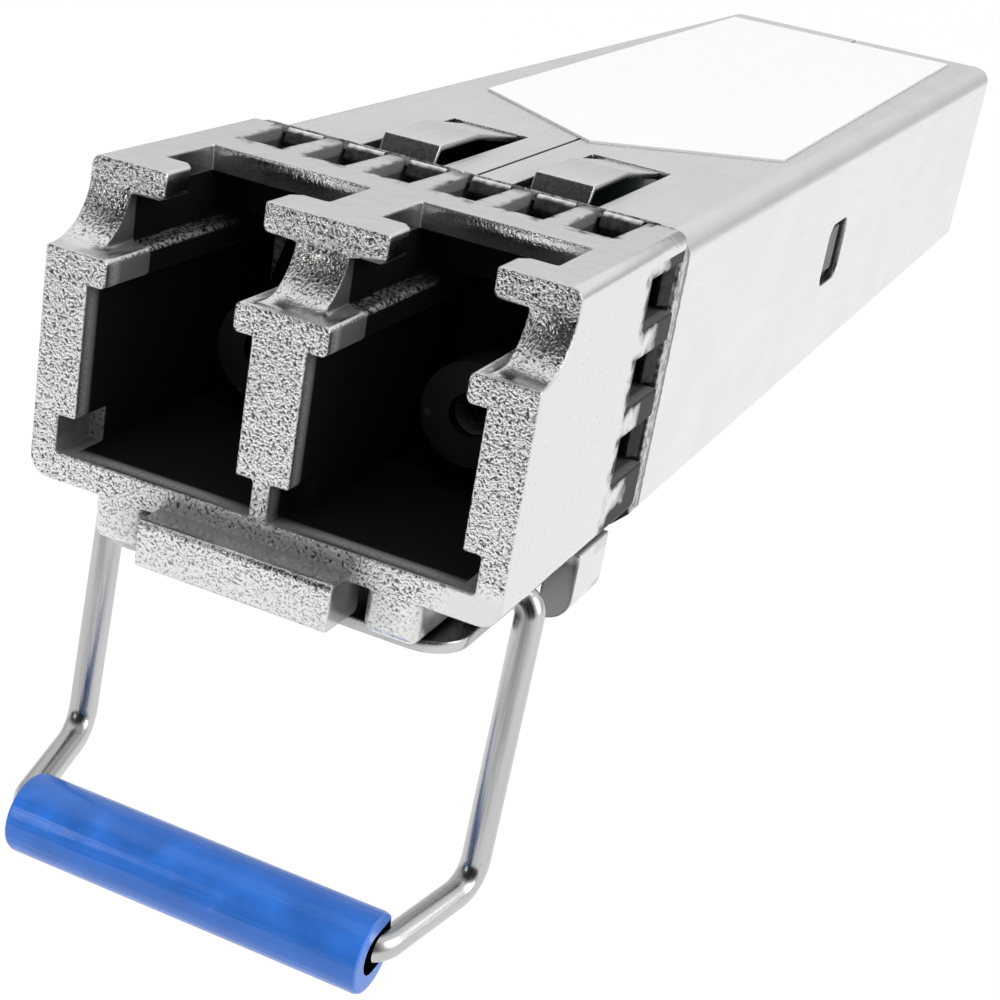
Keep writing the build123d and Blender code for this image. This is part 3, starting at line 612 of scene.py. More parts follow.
def make_casting():
    """Nickel whose grain, brighter edges (wear and painted highlight) and painted shade in hollows follow the masks.
    """
    material, tree, shader = start_material("plated_casting", Specular_IOR_Level=0.0)
    where = use(tree, "millimetres")["Vector"]
    axes = put(tree, "ShaderNodeSeparateXYZ", None, Vector=where).outputs
    edge = use(tree, "edges", Radius_mm=CAST_EDGE)
    hollow = maths(tree, "MAXIMUM", use(tree, "hollows", Reach_mm=CAST_HOLLOW)["Mask"],
                   use(tree, "pockets", Vector=where)["Mask"])
    inside = use(tree, "port_inside", Vector=where)["Mask"]
    skin = use(tree, "cast_skin", Vector=where, Pebbles_per_mm=PEBBLES_PER_MM, Fine_share=1.0)
    specks = use(tree, "specks", Vector=where, Per_mm=PINHOLES_PER_MM, Amount=PINHOLE_AMOUNT)["Mask"]
    facing = put(tree, "ShaderNodeSeparateXYZ", None,
                 Vector=put(tree, "ShaderNodeNewGeometry").outputs["Normal"]).outputs
    front = spread(tree, facing["Y"], *FRONT_FACING)
    ahead = spread(tree, axes["Y"], *GRAIN_REAR)
    slant = maths(tree, "SUBTRACT", axes["X"], maths(tree, "MULTIPLY", axes["Z"], 0.5))
    corner = maths(tree, "MULTIPLY", spread(tree, slant, *CORNER_SLANT), spread(tree, axes["Z"], *CORNER_LOW))
    grain = maths(tree, "MULTIPLY", maths(tree, "MULTIPLY", front, ahead), maths(tree, "SUBTRACT", 1.0, corner))
    grain = maths(tree, "MULTIPLY", grain, spread(tree, axes["Z"], *LIP_GRAIN))
    share = maths(tree, "ADD", maths(tree, "MULTIPLY", grain, 1 - SMOOTH_SHARE), SMOOTH_SHARE)
    height = maths(tree, "MULTIPLY", skin["Height"], share)
    base = blend(tree, grain, NICKEL, NICKEL_CROWN)
    # painted shade in the pebbles' valleys on the grained faces
    base = blend(tree, maths(tree, "MULTIPLY", skin["Pits"], grain), base, PAINTED_VALLEY_SHADE)
    # painted shade on the front faces of the lug under the nose
    lug = maths(tree, "MULTIPLY", spread(tree, axes["Z"], *LUG_TOP), spread(tree, axes["Y"], *LUG_FRONT))
    base = blend(tree, maths(tree, "MULTIPLY", maths(tree, "MULTIPLY", lug, front), 0.8), base, NICKEL_SHADE)
    base = blend(tree, maths(tree, "MULTIPLY", specks, 0.45), base, PINHOLE)
    # edges painted brighter: partly wear, partly a painted highlight
    base = blend(tree, maths(tree, "MULTIPLY", edge["Mask"], 0.5), base, EDGE_WEAR_AND_HIGHLIGHT_NICKEL)
    # painted shade in hollows and in the finger pockets
    base = blend(tree, maths(tree, "MULTIPLY", hollow, 0.93), base, PAINTED_HOLLOW_SHADE)
    # painted black inside the ports: painted shade
    base = blend(tree, inside, base, PORT_BLACK)
    wire(tree, shader, "Base Color", base)
    rough = spread(tree, skin["Height"], *SKIN_GLOSS)
    deep = maths(tree, "MAXIMUM", inside, hollow)
    wire(tree, shader, "Roughness", maths(tree, "ADD", rough, maths(tree, "MULTIPLY", deep, 0.3)))
    wire(tree, shader, "Metallic", maths(tree, "SUBTRACT", 1.0, deep))
    swell = put(tree, "ShaderNodeTexNoise", None, Vector=where, Scale=SWELL_SCALE, Detail=2.0).outputs[0]
    wavy = bump(tree, swell, SWELL_DEPTH, 1.0, edge["Normal"])
    wire(tree, shader, "Normal", bump(tree, height, PEBBLE_DEPTH, 1.0, wavy))
    return material


MATERIALS["plated_casting"] = make_casting()
print("made plated_casting")

# %% [markdown]
# ## Sheet metal: cover and latch plate
# Both are stamped from strip. The strip's rolling lines run along the module, its bent and cut edges catch
# the light, and handling leaves faint patches. Anisotropic gloss could show the rolling; a fine stretched
# height is enough at this distance and keeps the reflections of the studio soft.
#
# ### The cover's front
# The cover has its own masks at the front: its fingers get painted shade where they lie down in the pockets,
# its cut edge is pale and speckled, and on each side a band of painted shade, speckled pale and dark, with a
# darker painted border runs beside that edge.

# %% Masks of the cover's front
COVER_FRONT, EDGE_TOP, EDGE_SIDE = 0.5, 4.42, 6.64
CUT_FACING, CUT_DEPTH = (-0.45, -0.75), (0.16, 0.10)
BAND_END, BORDER_START, BORDER_END = (0.72, 0.66), (0.64, 0.70), (0.90, 0.80)


def past_front(tree, value, distances):
    """A mask along the cover, from two distances behind its front edge."""
    return spread(tree, value, COVER_FRONT + distances[0], COVER_FRONT + distances[1])


def in_pockets(tree, where):
    """The part of the cover's fingers and front edge that lies down in the nose's pockets, where it gets painted
    shade.
    """
    axes = put(tree, "ShaderNodeSeparateXYZ", None, Vector=where).outputs
    ahead = spread(tree, axes["Y"], COVER_FRONT + 0.05, COVER_FRONT + 0.01)
    low = spread(tree, axes["Z"], EDGE_TOP + 0.04, EDGE_TOP - 0.04)
    inward = spread(tree, maths(tree, "ABSOLUTE", axes["X"]), EDGE_SIDE + 0.03, EDGE_SIDE - 0.03)
    return maths(tree, "MULTIPLY", ahead, maths(tree, "MULTIPLY", low, inward))


def front_edge(tree, where):
    """Masks of the cover's cut edge, of the band of painted shade beside it, of the band's painted border, and a
    speckle.
    """
    axes = put(tree, "ShaderNodeSeparateXYZ", None, Vector=where).outputs
    facing = put(tree, "ShaderNodeSeparateXYZ", None,
                 Vector=put(tree, "ShaderNodeNewGeometry").outputs["Normal"]).outputs
    noise = put(tree, "ShaderNodeTexNoise", None, Vector=where, Scale=5.0, Detail=4.0).outputs[0]
    uneven = spread(tree, noise, 0.40, 0.60)
    back = maths(tree, "ADD", axes["Y"], spread(tree, noise, 0.3, 0.7, -0.05, 0.05))
    cut = maths(tree, "MULTIPLY", spread(tree, facing["Y"], *CUT_FACING), past_front(tree, axes["Y"], CUT_DEPTH))
    beside = spread(tree, maths(tree, "ABSOLUTE", axes["X"]), EDGE_SIDE - 0.14, EDGE_SIDE - 0.04)
    band = maths(tree, "MULTIPLY", beside, past_front(tree, back, BAND_END))
    line = maths(tree, "MULTIPLY", past_front(tree, back, BORDER_START), past_front(tree, back, BORDER_END))
    return cut, band, maths(tree, "MULTIPLY", beside, line), uneven


print("masks of the cover's front ready")

# %% [markdown]
# ### One finish for every sheet
# Cover, latch plate, gold pads and the turned metal of the optics share one recipe with their own colours,
# gloss and direction of lines. Only the cover asks for the masks of its front.

# %% Sheet finishes
SHEET_SHADE, SHEET_EDGE_WEAR_AND_HIGHLIGHT, FINGER_SHADE = grey(0.03), grey(0.92), grey(0.02)
CUT_DARK, CUT_PALE = grey(0.16), (0.80, 0.80, 0.79, 1)
BAND_SHADE_DARK, BAND_SHADE_PALE, BORDER_PAINTED_SHADE = grey(0.07), grey(0.45), grey(0.03)
MATT_METAL = (0.0, 1.0, 1.0, 0.2)
SHEET_EDGE, SHEET_HOLLOW, MARKS_PER_MM, MARK_AMOUNT = 0.05, 1.4, 1.4, 0.12
PATCH_SCALE, PATCH_RANGE, PATCH_SHARE = 0.35, (0.42, 0.62), 0.30


def make_sheet(name, colour, dark, roughness, stretch, depth_mm, fingers=0.0):
    """Rolled, stamped or turned metal; fingers paints shade on the cover's fingers and asks for its front edge."""
    material, tree, shader = start_material(name, Metallic=1.0, Specular_IOR_Level=0.1)
    where = use(tree, "millimetres")["Vector"]
    edge = use(tree, "edges", Radius_mm=SHEET_EDGE)
    hollow = use(tree, "hollows", Reach_mm=SHEET_HOLLOW)["Mask"]
    lines = use(tree, "lines", Vector=where, Stretch=stretch)
    specks = use(tree, "specks", Vector=where, Per_mm=MARKS_PER_MM, Amount=MARK_AMOUNT)["Mask"]
    cloud = put(tree, "ShaderNodeTexNoise", None, Vector=where, Scale=PATCH_SCALE, Detail=2.0).outputs[0]
    patch = maths(tree, "MULTIPLY", spread(tree, cloud, *PATCH_RANGE), PATCH_SHARE)
    base = blend(tree, patch, colour, dark)
    base = blend(tree, maths(tree, "MULTIPLY", lines["Streaks"], 0.10), base, dark)
    base = blend(tree, maths(tree, "MULTIPLY", specks, 0.25), base, dark)
    # edges painted brighter: partly wear, partly a painted highlight
    base = blend(tree, maths(tree, "MULTIPLY", edge["Mask"], 0.6), base, SHEET_EDGE_WEAR_AND_HIGHLIGHT)
    # painted shade in hollows
    base = blend(tree, maths(tree, "MULTIPLY", hollow, 0.85), base, SHEET_SHADE)
    if fingers:
        cut, band, line, uneven = front_edge(tree, where)
        base = blend(tree, cut, base, blend(tree, uneven, CUT_DARK, CUT_PALE))
        # painted shade: a speckled band beside the cut edge and a dark border behind it
        side_band_shade = blend(tree, uneven, BAND_SHADE_DARK, BAND_SHADE_PALE)
        base = blend(tree, maths(tree, "MULTIPLY", band, 0.9), base, side_band_shade)
        base = blend(tree, maths(tree, "MULTIPLY", line, 0.9), base, BORDER_PAINTED_SHADE)
        matt = maths(tree, "MAXIMUM", maths(tree, "MAXIMUM", band, line), cut)
        wire(tree, shader, "Metallic", spread(tree, matt, *MATT_METAL))
        # painted shade on the fingers where they lie in the pockets
        base = blend(tree, maths(tree, "MULTIPLY", in_pockets(tree, where), fingers), base, FINGER_SHADE)
    wire(tree, shader, "Base Color", base)
    wire(tree, shader, "Roughness", spread(tree, lines["Height"], 0.3, 0.7, roughness - 0.04, roughness + 0.05))
    wire(tree, shader, "Normal", bump(tree, lines["Height"], depth_mm, 1.0, edge["Normal"]))
    return material


MATERIALS["cover_steel"] = make_sheet("cover_steel", (0.84, 0.84, 0.83, 1), grey(0.74), 0.28,
                                      (6.0, 0.12, 6.0), 0.0006, fingers=0.96)
MATERIALS["latch_steel"] = make_sheet("latch_steel", (0.66, 0.66, 0.67, 1), (0.48, 0.48, 0.49, 1), 0.24,
                                      (7.0, 0.2, 7.0), 0.003)
MATERIALS["optic_metal"] = make_sheet("optic_metal", (0.46, 0.43, 0.36, 1), (0.33, 0.30, 0.24, 1), 0.28,
                                      (5.0, 9.0, 5.0), 0.002)
print("made three sheet and turned metals")

# %% [markdown]
# ## Drawn wire
# The bail is bright drawn wire. Drawing leaves lines along the wire, which bend with it, so they can't lie
# on straight coordinates. The wire piece below stores how far along and how far round each point is, and
# this finish reads that.

# %% Wire finish
WIRE_MAP = "wire_map"
WIRE_BRIGHT, WIRE_STREAK, WIRE_SPOT = grey(0.60), grey(0.36), grey(0.24)
ALONG_WIRE, DRAWN_DEPTH, WIRE_GLOSS = (8.0, 0.25, 8.0), 0.006, (0.3, 0.7, 0.18, 0.34)


def make_wire_finish(name, mapped):
    """Drawn wire; mapped says that the piece stores where each point lies along and round it."""
    material, tree, shader = start_material(name, Metallic=1.0)
    if mapped:
        source = put(tree, "ShaderNodeAttribute", {"attribute_name": WIRE_MAP}).outputs["Vector"]
    else:
        source = use(tree, "millimetres")["Vector"]
    lines = use(tree, "lines", Vector=source, Stretch=ALONG_WIRE)
    specks = use(tree, "specks", Vector=use(tree, "millimetres")["Vector"], Per_mm=2.0, Amount=0.1)["Mask"]
    base = blend(tree, maths(tree, "MULTIPLY", lines["Streaks"], 0.5), WIRE_BRIGHT, WIRE_STREAK)
    base = blend(tree, maths(tree, "MULTIPLY", specks, 0.4), base, WIRE_SPOT)
    wire(tree, shader, "Base Color", base)
    wire(tree, shader, "Roughness", spread(tree, lines["Height"], *WIRE_GLOSS))
    wire(tree, shader, "Normal", bump(tree, lines["Height"], DRAWN_DEPTH))
    return material


MATERIALS["wire_steel"] = make_wire_finish("wire_steel", True)
MATERIALS["pin_steel"] = make_wire_finish("pin_steel", False)
print("made wire finishes")

# %% [markdown]
# ## Plastics, label and board
# The sleeve is glossy blue plastic with a slight waviness from moulding. The label is a blank white film.
# The board, its parts and the flexible circuits are hidden unless the module is seen from behind, but they
# have their own finishes all the same.


# %% Recipe for plastics
LINES_ALONG_X = (0.10, 4.0, 4.0)
# colour of the painted shade in hollows
HOLLOW_REACH, HOLLOW_BLACK = 2.5, grey(0.004)
LINE_DEPTH = 0.03


def make_plastic(name, colour, roughness, wave_mm=0.01, wave_scale=0.9, fine_mm=0.002, fine_scale=14.0,
                 shade=0.12, coat=0.0, shine=0.5, streak=0.0, deep=0.0):
    """A non-metal with slow colour change, fine grain, light specks and, at will, lines along X and painted shade in
    hollows.
    """
    material, tree, shader = start_material(name, Metallic=0.0, Coat_Weight=coat, Specular_IOR_Level=shine)
    where = use(tree, "millimetres")["Vector"]
    slow = put(tree, "ShaderNodeTexNoise", None, Vector=where, Scale=wave_scale, Detail=2.0).outputs[0]
    fine = put(tree, "ShaderNodeTexNoise", None, Vector=where, Scale=fine_scale, Detail=2.0).outputs[0]
    specks = use(tree, "specks", Vector=where, Per_mm=1.6, Amount=0.1)["Mask"]
    darker = tuple(c * (1 - 2 * shade) for c in colour) + (1,)
    base = blend(tree, spread(tree, slow, 0.35, 0.65), colour + (1,), darker)
    lighter = tuple(c + (1 - c) * 0.3 for c in colour) + (1,)
    base = blend(tree, maths(tree, "MULTIPLY", specks, shade), base, lighter)
    lines = use(tree, "lines", Vector=where, Stretch=LINES_ALONG_X)
    base = blend(tree, maths(tree, "MULTIPLY", lines["Streaks"], streak), base, darker)
    # painted shade in hollows, where deep is given
    if deep:
        hollow = use(tree, "hollows", Reach_mm=HOLLOW_REACH)["Mask"]
        base = blend(tree, maths(tree, "MULTIPLY", hollow, deep), base, HOLLOW_BLACK)
    wire(tree, shader, "Base Color", base)
    wire(tree, shader, "Roughness", spread(tree, fine, 0.3, 0.7, roughness - 0.03, roughness + 0.05))
    first = bump(tree, slow, wave_mm)
    second = bump(tree, lines["Height"], LINE_DEPTH * streak, 1.0, first)
    wire(tree, shader, "Normal", bump(tree, fine, fine_mm, 1.0, second))
    return material


print("recipe for plastics ready")

# %% [markdown]
# ### The plastics and their values
# Each row below is one finish. What lies deep in the ports gets painted shade in its hollows, the sleeve gets
# faint lines along its length from the mould, and the board's lacquer has a thin clear coat.

# %% Plastics and the rest
PLASTICS = {
    "blue_sleeve": dict(colour=(0.025, 0.172, 0.68), roughness=0.20, wave_mm=0.02, shade=0.14, shine=0.5, streak=0.7),
    "white_label": dict(colour=(0.75, 0.75, 0.75), roughness=0.42, wave_mm=0.004, shade=0.01),
    "black_package": dict(colour=(0.025, 0.025, 0.027), roughness=0.55),
    "grey_pad": dict(colour=(0.45, 0.47, 0.50), roughness=0.75, fine_mm=0.006),
    "white_ceramic": dict(colour=(0.90, 0.89, 0.85), roughness=0.25, shade=0.02, deep=0.97),
    "amber_flex": dict(colour=(0.62, 0.30, 0.05), roughness=0.30),
    "clamp_plastic": dict(colour=(0.03, 0.03, 0.03), roughness=0.6),
    "receptacle_plastic": dict(colour=(0.015, 0.015, 0.016), roughness=0.65, shine=0.2, deep=0.9),
    "solder_mask": dict(colour=(0.02, 0.17, 0.07), roughness=0.33, shade=0.1, coat=0.2),
}
for title, values in PLASTICS.items():
    MATERIALS[title] = make_plastic(title, **values)
MATERIALS["green_board"] = MATERIALS["solder_mask"]
MATERIALS["gold_contact"] = make_sheet("gold_contact", (0.90, 0.66, 0.26, 1), (0.74, 0.50, 0.18, 1), 0.26,
                                       (6.0, 1.0, 6.0), 0.002)
print("materials:", len(MATERIALS))

# %% [markdown]
# The small parts on the board have a ceramic middle and two tinned ends. The piece that is made below marks
# its end faces, and this finish turns the mark into metal.

# %% Small parts
TINNED = "tinned"
CERAMIC, CERAMIC_DARK = (0.45, 0.33, 0.22, 1), (0.30, 0.21, 0.13, 1)
TIN, TIN_DARK = grey(0.75), (0.55, 0.55, 0.56, 1)


def make_passive():
    """A ceramic body with tinned ends."""
    material, tree, shader = start_material("passive_body")
    where = use(tree, "millimetres")["Vector"]
    end = put(tree, "ShaderNodeAttribute", {"attribute_name": TINNED}).outputs["Fac"]
    cloud = put(tree, "ShaderNodeTexNoise", None, Vector=where, Scale=7.0, Detail=3.0).outputs[0]
    shade = spread(tree, cloud, 0.35, 0.65)
    body = blend(tree, shade, CERAMIC, CERAMIC_DARK)
    tin = blend(tree, shade, TIN, TIN_DARK)
    wire(tree, shader, "Base Color", blend(tree, end, body, tin))
    wire(tree, shader, "Metallic", end)
    wire(tree, shader, "Roughness", spread(tree, cloud, 0.3, 0.7, 0.30, 0.50))
    wire(tree, shader, "Normal", bump(tree, cloud, 0.02))
    return material


MATERIALS["passive_body"] = make_passive()
print("made passive_body")

# %% [markdown]
# ## Softened copies of the big pieces
# A solid's edges are perfectly sharp, and a real edge never is: a thin bright line along each edge is half
# of what makes metal look like metal. A bevel on the solids themselves would change them, so each big
# piece is copied, its triangles are merged into flat faces, and the copy is bevelled by less than a tenth
# of a millimetre. The copy then stands for the solid.

# %% Copies and plain meshes
MERGE_DISTANCE = 0.0005 * MM
FLAT_ANGLE = radians(2.0)


def link_piece(name, mesh):
    """A new object of the scene that shows a mesh."""
    piece = bpy.data.objects.new(name, mesh)
    bpy.context.scene.collection.objects.link(piece)
    return piece


def plain_mesh(piece):
    """Replace a piece's modifiers by the mesh that they make."""
    bpy.context.view_layer.update()
    finished = piece.evaluated_get(bpy.context.evaluated_depsgraph_get())
    mesh = bpy.data.meshes.new_from_object(finished)
    piece.modifiers.clear()
    piece.data = mesh
    return piece


def merged_copy(node):
    """A copy of a solid's mesh whose triangles are joined into flat faces."""
    mesh = frame["nodes"][node].data.copy()
    work = bmesh.new()
    work.from_mesh(mesh)
    bmesh.ops.remove_doubles(work, verts=work.verts, dist=MERGE_DISTANCE)
    bmesh.ops.dissolve_limit(work, angle_limit=FLAT_ANGLE, verts=work.verts, edges=work.edges)
    work.to_mesh(mesh)
    work.free()
    return mesh


print("helpers for copies ready")

# %% [markdown]
# ### Which edges are rounded
# Only edges that are really sharp get a bevel, not the small steps between the facets of a round face.
# Deep in the ports, where walls are thin and nobody sees an edge, the bevel would tear, so a box there is
# spared.

# %% Sharp edges
SHARP_ANGLE = radians(32)
NOWHERE = ((1, 0), (1, 0), (1, 0))
INSIDE_PORTS = ((-6.7, 6.7), (-5.95, 0.7), (-3.1, 3.8))


def mark_sharp_edges(mesh, spared):
    """Mark the sharp edges for the bevel, except those inside a box given in millimetres."""
    work = bmesh.new()
    work.from_mesh(mesh)
    weight = work.edges.layers.float.new("bevel_weight_edge")
    for edge in work.edges:
        middle = (edge.verts[0].co + edge.verts[1].co) / 2 / MM
        held = all(low <= value <= high for value, (low, high) in zip(middle, spared))
        edge[weight] = float(edge.calc_face_angle(0.0) > SHARP_ANGLE and not held)
    work.to_mesh(mesh)
    work.free()


print("spared inside the ports:", INSIDE_PORTS)

# %% [markdown]
# ### The cover's front edge
# The real cover stands a little off the nose at its front, highest over each finger. Some cuts across the
# copy give it points to bend at, and the points are lifted along a soft curve that starts behind the edge.

# %% Lifted front edge
FLARE_CUTS = (0.8, 1.1, 1.4)
FLARE_END, FLARE_LIFT, FLARE_WIDEN = 1.45, 0.29, 0.02
FLARE_ABOVE, FLARE_UNDER, FLARE_BESIDE, EDGE_SLANT = 3.4, 4.1, 6.05, 0.05
FINGER_PITCH, FINGER_LIFT = 1.95, 0.10


def flare_front(mesh):
    """Lift the cover's front edge a little off the nose, most of all over each finger."""
    work = bmesh.new()
    work.from_mesh(mesh)
    for y in FLARE_CUTS:
        everything = work.verts[:] + work.edges[:] + work.faces[:]
        bmesh.ops.bisect_plane(work, geom=everything, plane_co=(0, y * MM, 0), plane_no=(0, 1, 0))
    for vertex in work.verts:
        x, y, z = vertex.co / MM
        rise = min(max((FLARE_END - y) / (FLARE_END - COVER_FRONT), 0.0), 1.0) ** 2
        over_finger = 0.5 + 0.5 * cos(2 * pi * (x / FINGER_PITCH - 0.5))
        if z > FLARE_ABOVE:
            vertex.co.z += (FLARE_LIFT + FINGER_LIFT * over_finger) * rise * MM
            if z < FLARE_UNDER and y > COVER_FRONT - 0.01:
                vertex.co.y += EDGE_SLANT * rise * MM
        if abs(x) > FLARE_BESIDE:
            vertex.co.x += (FLARE_WIDEN if x > 0 else -FLARE_WIDEN) * rise * MM
    work.to_mesh(mesh)
    work.free()


print("lift at the front edge:", FLARE_LIFT, "to", round(FLARE_LIFT + FINGER_LIFT, 2), "mm")

# %% [markdown]
# ### The bevel and the dressing
# The bevel is two segments wide. Normals weighted by face size keep the big faces flat in the light. Then
# each copy gets its finish and takes the solid's place.

# %% Soften and dress the big pieces
BEVEL_SEGMENTS = 2


def soften(node, width_mm, spared, shape=None):
    """A bevelled copy of a solid, with smooth shading across its small facets."""
    mesh = merged_copy(node)
    if shape:
        shape(mesh)
    mark_sharp_edges(mesh, spared)
    piece = link_piece(f"{node}_soft", mesh)
    bevel = piece.modifiers.new("edges", "BEVEL")
    bevel.width = width_mm * MM
    bevel.segments = BEVEL_SEGMENTS
    bevel.limit_method = "WEIGHT"
    bevel.use_clamp_overlap = False
    bevel.miter_outer = "MITER_ARC"
    plain_mesh(piece)
    piece.data.shade_smooth()
    piece.data.set_sharp_from_angle(angle=SHARP_ANGLE)
    flat = piece.modifiers.new("flat_faces", "WEIGHTED_NORMAL")
    flat.keep_sharp = True
    return plain_mesh(piece)


SLOT_OF = {row["node"]: row["material_slot"] for row in frame["record"]["subparts"]}
BODY_OF = {n: b for b, nodes in frame["record"]["behaviour"]["bodies"].items() for n in nodes}
REPLACED = set()


def dress(piece, node, bend=None):
    """Give a piece its finish and its body, or with bend bake its place into its mesh instead; hide the solid that it
    stands for.
    """
    piece.data.materials.clear()
    piece.data.materials.append(MATERIALS[SLOT_OF[node]])
    if bend:
        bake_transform(piece)
    else:
        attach(piece, BODY_OF[node])
    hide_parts(node)
    REPLACED.add(node)
    print(piece.name, "faces:", len(piece.data.polygons))


BEVEL_WIDTHS = {"base_casting": 0.06, "cover_shell": 0.035, "latch_plate": 0.06, "bail_sleeve": 0.12}
SPARED, SHAPED = {"base_casting": INSIDE_PORTS}, {"cover_shell": flare_front}
for node, width in BEVEL_WIDTHS.items():
    dress(soften(node, width, SPARED.get(node, NOWHERE), SHAPED.get(node)), node)

# %% [markdown]
# ## The leaf spring
# Pulling the bail rocks the latch plate up against its leaf spring, which gets flat. A stiff spring would be
# cut through by the plate. The piece that stands for it is a merged copy of the solid with its place baked in;
# the points of its crown on the casting and of its feet on the plate are worked out and handed to dress, which only
# checks that they are given.

# %% Leaf spring
SPRING_THICKNESS = 0.12
lowest, highest = (Vector(corner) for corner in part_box("latch_spring"))
crown, foot = (lowest + highest) / 2, (lowest + highest) / 2
crown.z, foot.z = highest.z - SPRING_THICKNESS * MM, lowest.z + SPRING_THICKNESS * MM
dress(link_piece("latch_spring_leaf", merged_copy("latch_spring")), "latch_spring",
      bend=("module", "latch", tuple(crown), tuple(foot)))

# %% [markdown]
# ## Pieces grown by rules
# Geometry Nodes make what follows a line or repeats. Each tree below ends in the same two steps, real
# geometry and one finish, because the export drops instances. A small helper keeps a value on the points
# of a curve, so that a later node can still read it.


# %% Helpers for grown pieces
def keep_value(tree, geometry, title, value):
    """Capture a value on a curve's points; gives the curve and the kept value."""
    node = tree.nodes.new("GeometryNodeCaptureAttribute")
    node.capture_items.new("FLOAT", title)
    wire(tree, node, "Geometry", geometry)
    wire(tree, node, title, value)
    return node.outputs["Geometry"], node.outputs[title]


def finish(tree, geometry, material, out, title):
    """The last steps of each of these groups: real geometry, one finish."""
    real = put(tree, "GeometryNodeRealizeInstances", None, Geometry=geometry).outputs[0]
    done = put(tree, "GeometryNodeSetMaterial", None, Geometry=real, Material=material).outputs[0]
    wire(tree, out, title, done)


print("helpers for grown pieces ready")

# %% [markdown]
# ### The bail's wire
# The bail is bent from one wire, which follows a chain of corners, each with its own bend radius. Sweeping
# it here, rather than softening the solid, gives every point its place along and round the wire, which the
# drawn lines need.

# %% Group for a bent wire
BEND = "bend_radius"
ROUND_STEPS = 24


def group_bent_wire():
    """A round wire along a chain of corner points, each with its own bend radius."""
    tree, given, out = new_group(
        "bent_wire",
        [("Corners", GEOMETRY, None), ("Wire radius mm", FLOAT, 0.4), ("Steps in a bend", WHOLE, 10),
         ("Finish", MATERIAL, None)],
        [("Wire", GEOMETRY)],
        "GeometryNodeTree",
    )
    chain = put(tree, "GeometryNodeMeshToCurve", None, Mesh=given["Corners"]).outputs[0]
    bend = put(tree, "GeometryNodeInputNamedAttribute", {"data_type": "FLOAT"}, Name=BEND).outputs[0]
    bent = put(tree, "GeometryNodeFilletCurve", {"mode": "POLY"}, Curve=chain, Count=given["Steps in a bend"],
               Radius=bend, Limit_Radius=True).outputs[0]
    along = keep_value(tree, bent, "Along", put(tree, "GeometryNodeSplineParameter").outputs["Length"])
    radius = maths(tree, "MULTIPLY", given["Wire radius mm"], MM)
    ring = put(tree, "GeometryNodeCurvePrimitiveCircle", {"mode": "RADIUS"}, Resolution=ROUND_STEPS, Radius=radius)
    turn = keep_value(tree, ring.outputs[0], "Turn", put(tree, "GeometryNodeSplineParameter").outputs["Factor"])
    tube = put(tree, "GeometryNodeCurveToMesh", None, Curve=along[0], Profile_Curve=turn[0], Fill_Caps=True)
    angle = maths(tree, "MULTIPLY", turn[1], 2 * pi)
    place = put(tree, "ShaderNodeCombineXYZ", None,
                X=maths(tree, "MULTIPLY", maths(tree, "COSINE", angle), given["Wire radius mm"]),
                Y=maths(tree, "MULTIPLY", along[1], 1 / MM),
                Z=maths(tree, "MULTIPLY", maths(tree, "SINE", angle), given["Wire radius mm"]))
    stored = put(tree, "GeometryNodeStoreNamedAttribute", {"data_type": "FLOAT_VECTOR", "domain": "POINT"},
                 Geometry=tube.outputs[0], Name=WIRE_MAP, Value=place.outputs[0])
    finish(tree, stored.outputs[0], given["Finish"], out, "Wire")
    return tree


WIRE_GROUP = group_bent_wire()
print("made", WIRE_GROUP.name)

# %% [markdown]
# ### A row of contact pads
# The board's tongue has ten gold pads on each side at an even pitch. A line of points and one flat box on
# each point make the row, and the same tree serves both sides.


# %% Group for a row of pads
def group_pad_row():
    """A row of flat pads along X."""
    tree, given, out = new_group(
        "pad_row",
        [("Start", GEOMETRY, None), ("Count", WHOLE, 10), ("Pitch", VECTOR, None), ("First", VECTOR, None),
         ("Size", VECTOR, None), ("Finish", MATERIAL, None)],
        [("Pads", GEOMETRY)],
        "GeometryNodeTree",
    )
    row = put(tree, "GeometryNodeMeshLine", {"mode": "OFFSET"}, Count=given["Count"], Start_Location=given["First"],
              Offset=given["Pitch"]).outputs[0]
    pad = put(tree, "GeometryNodeMeshCube", None, Size=given["Size"]).outputs[0]
    pads = put(tree, "GeometryNodeInstanceOnPoints", None, Points=row, Instance=pad).outputs[0]
    finish(tree, pads, given["Finish"], out, "Pads")
    return tree


PAD_GROUP = group_pad_row()
print("made", PAD_GROUP.name)

# %% [markdown]
# ### Small parts on the board
# The little soldered parts stand in a grid, and none sits quite straight. A seeded random shift and turn
# does that. Their end faces get a mark, which the finish above turns into tin.

# %% Group for small parts
END_SHARE = 0.3


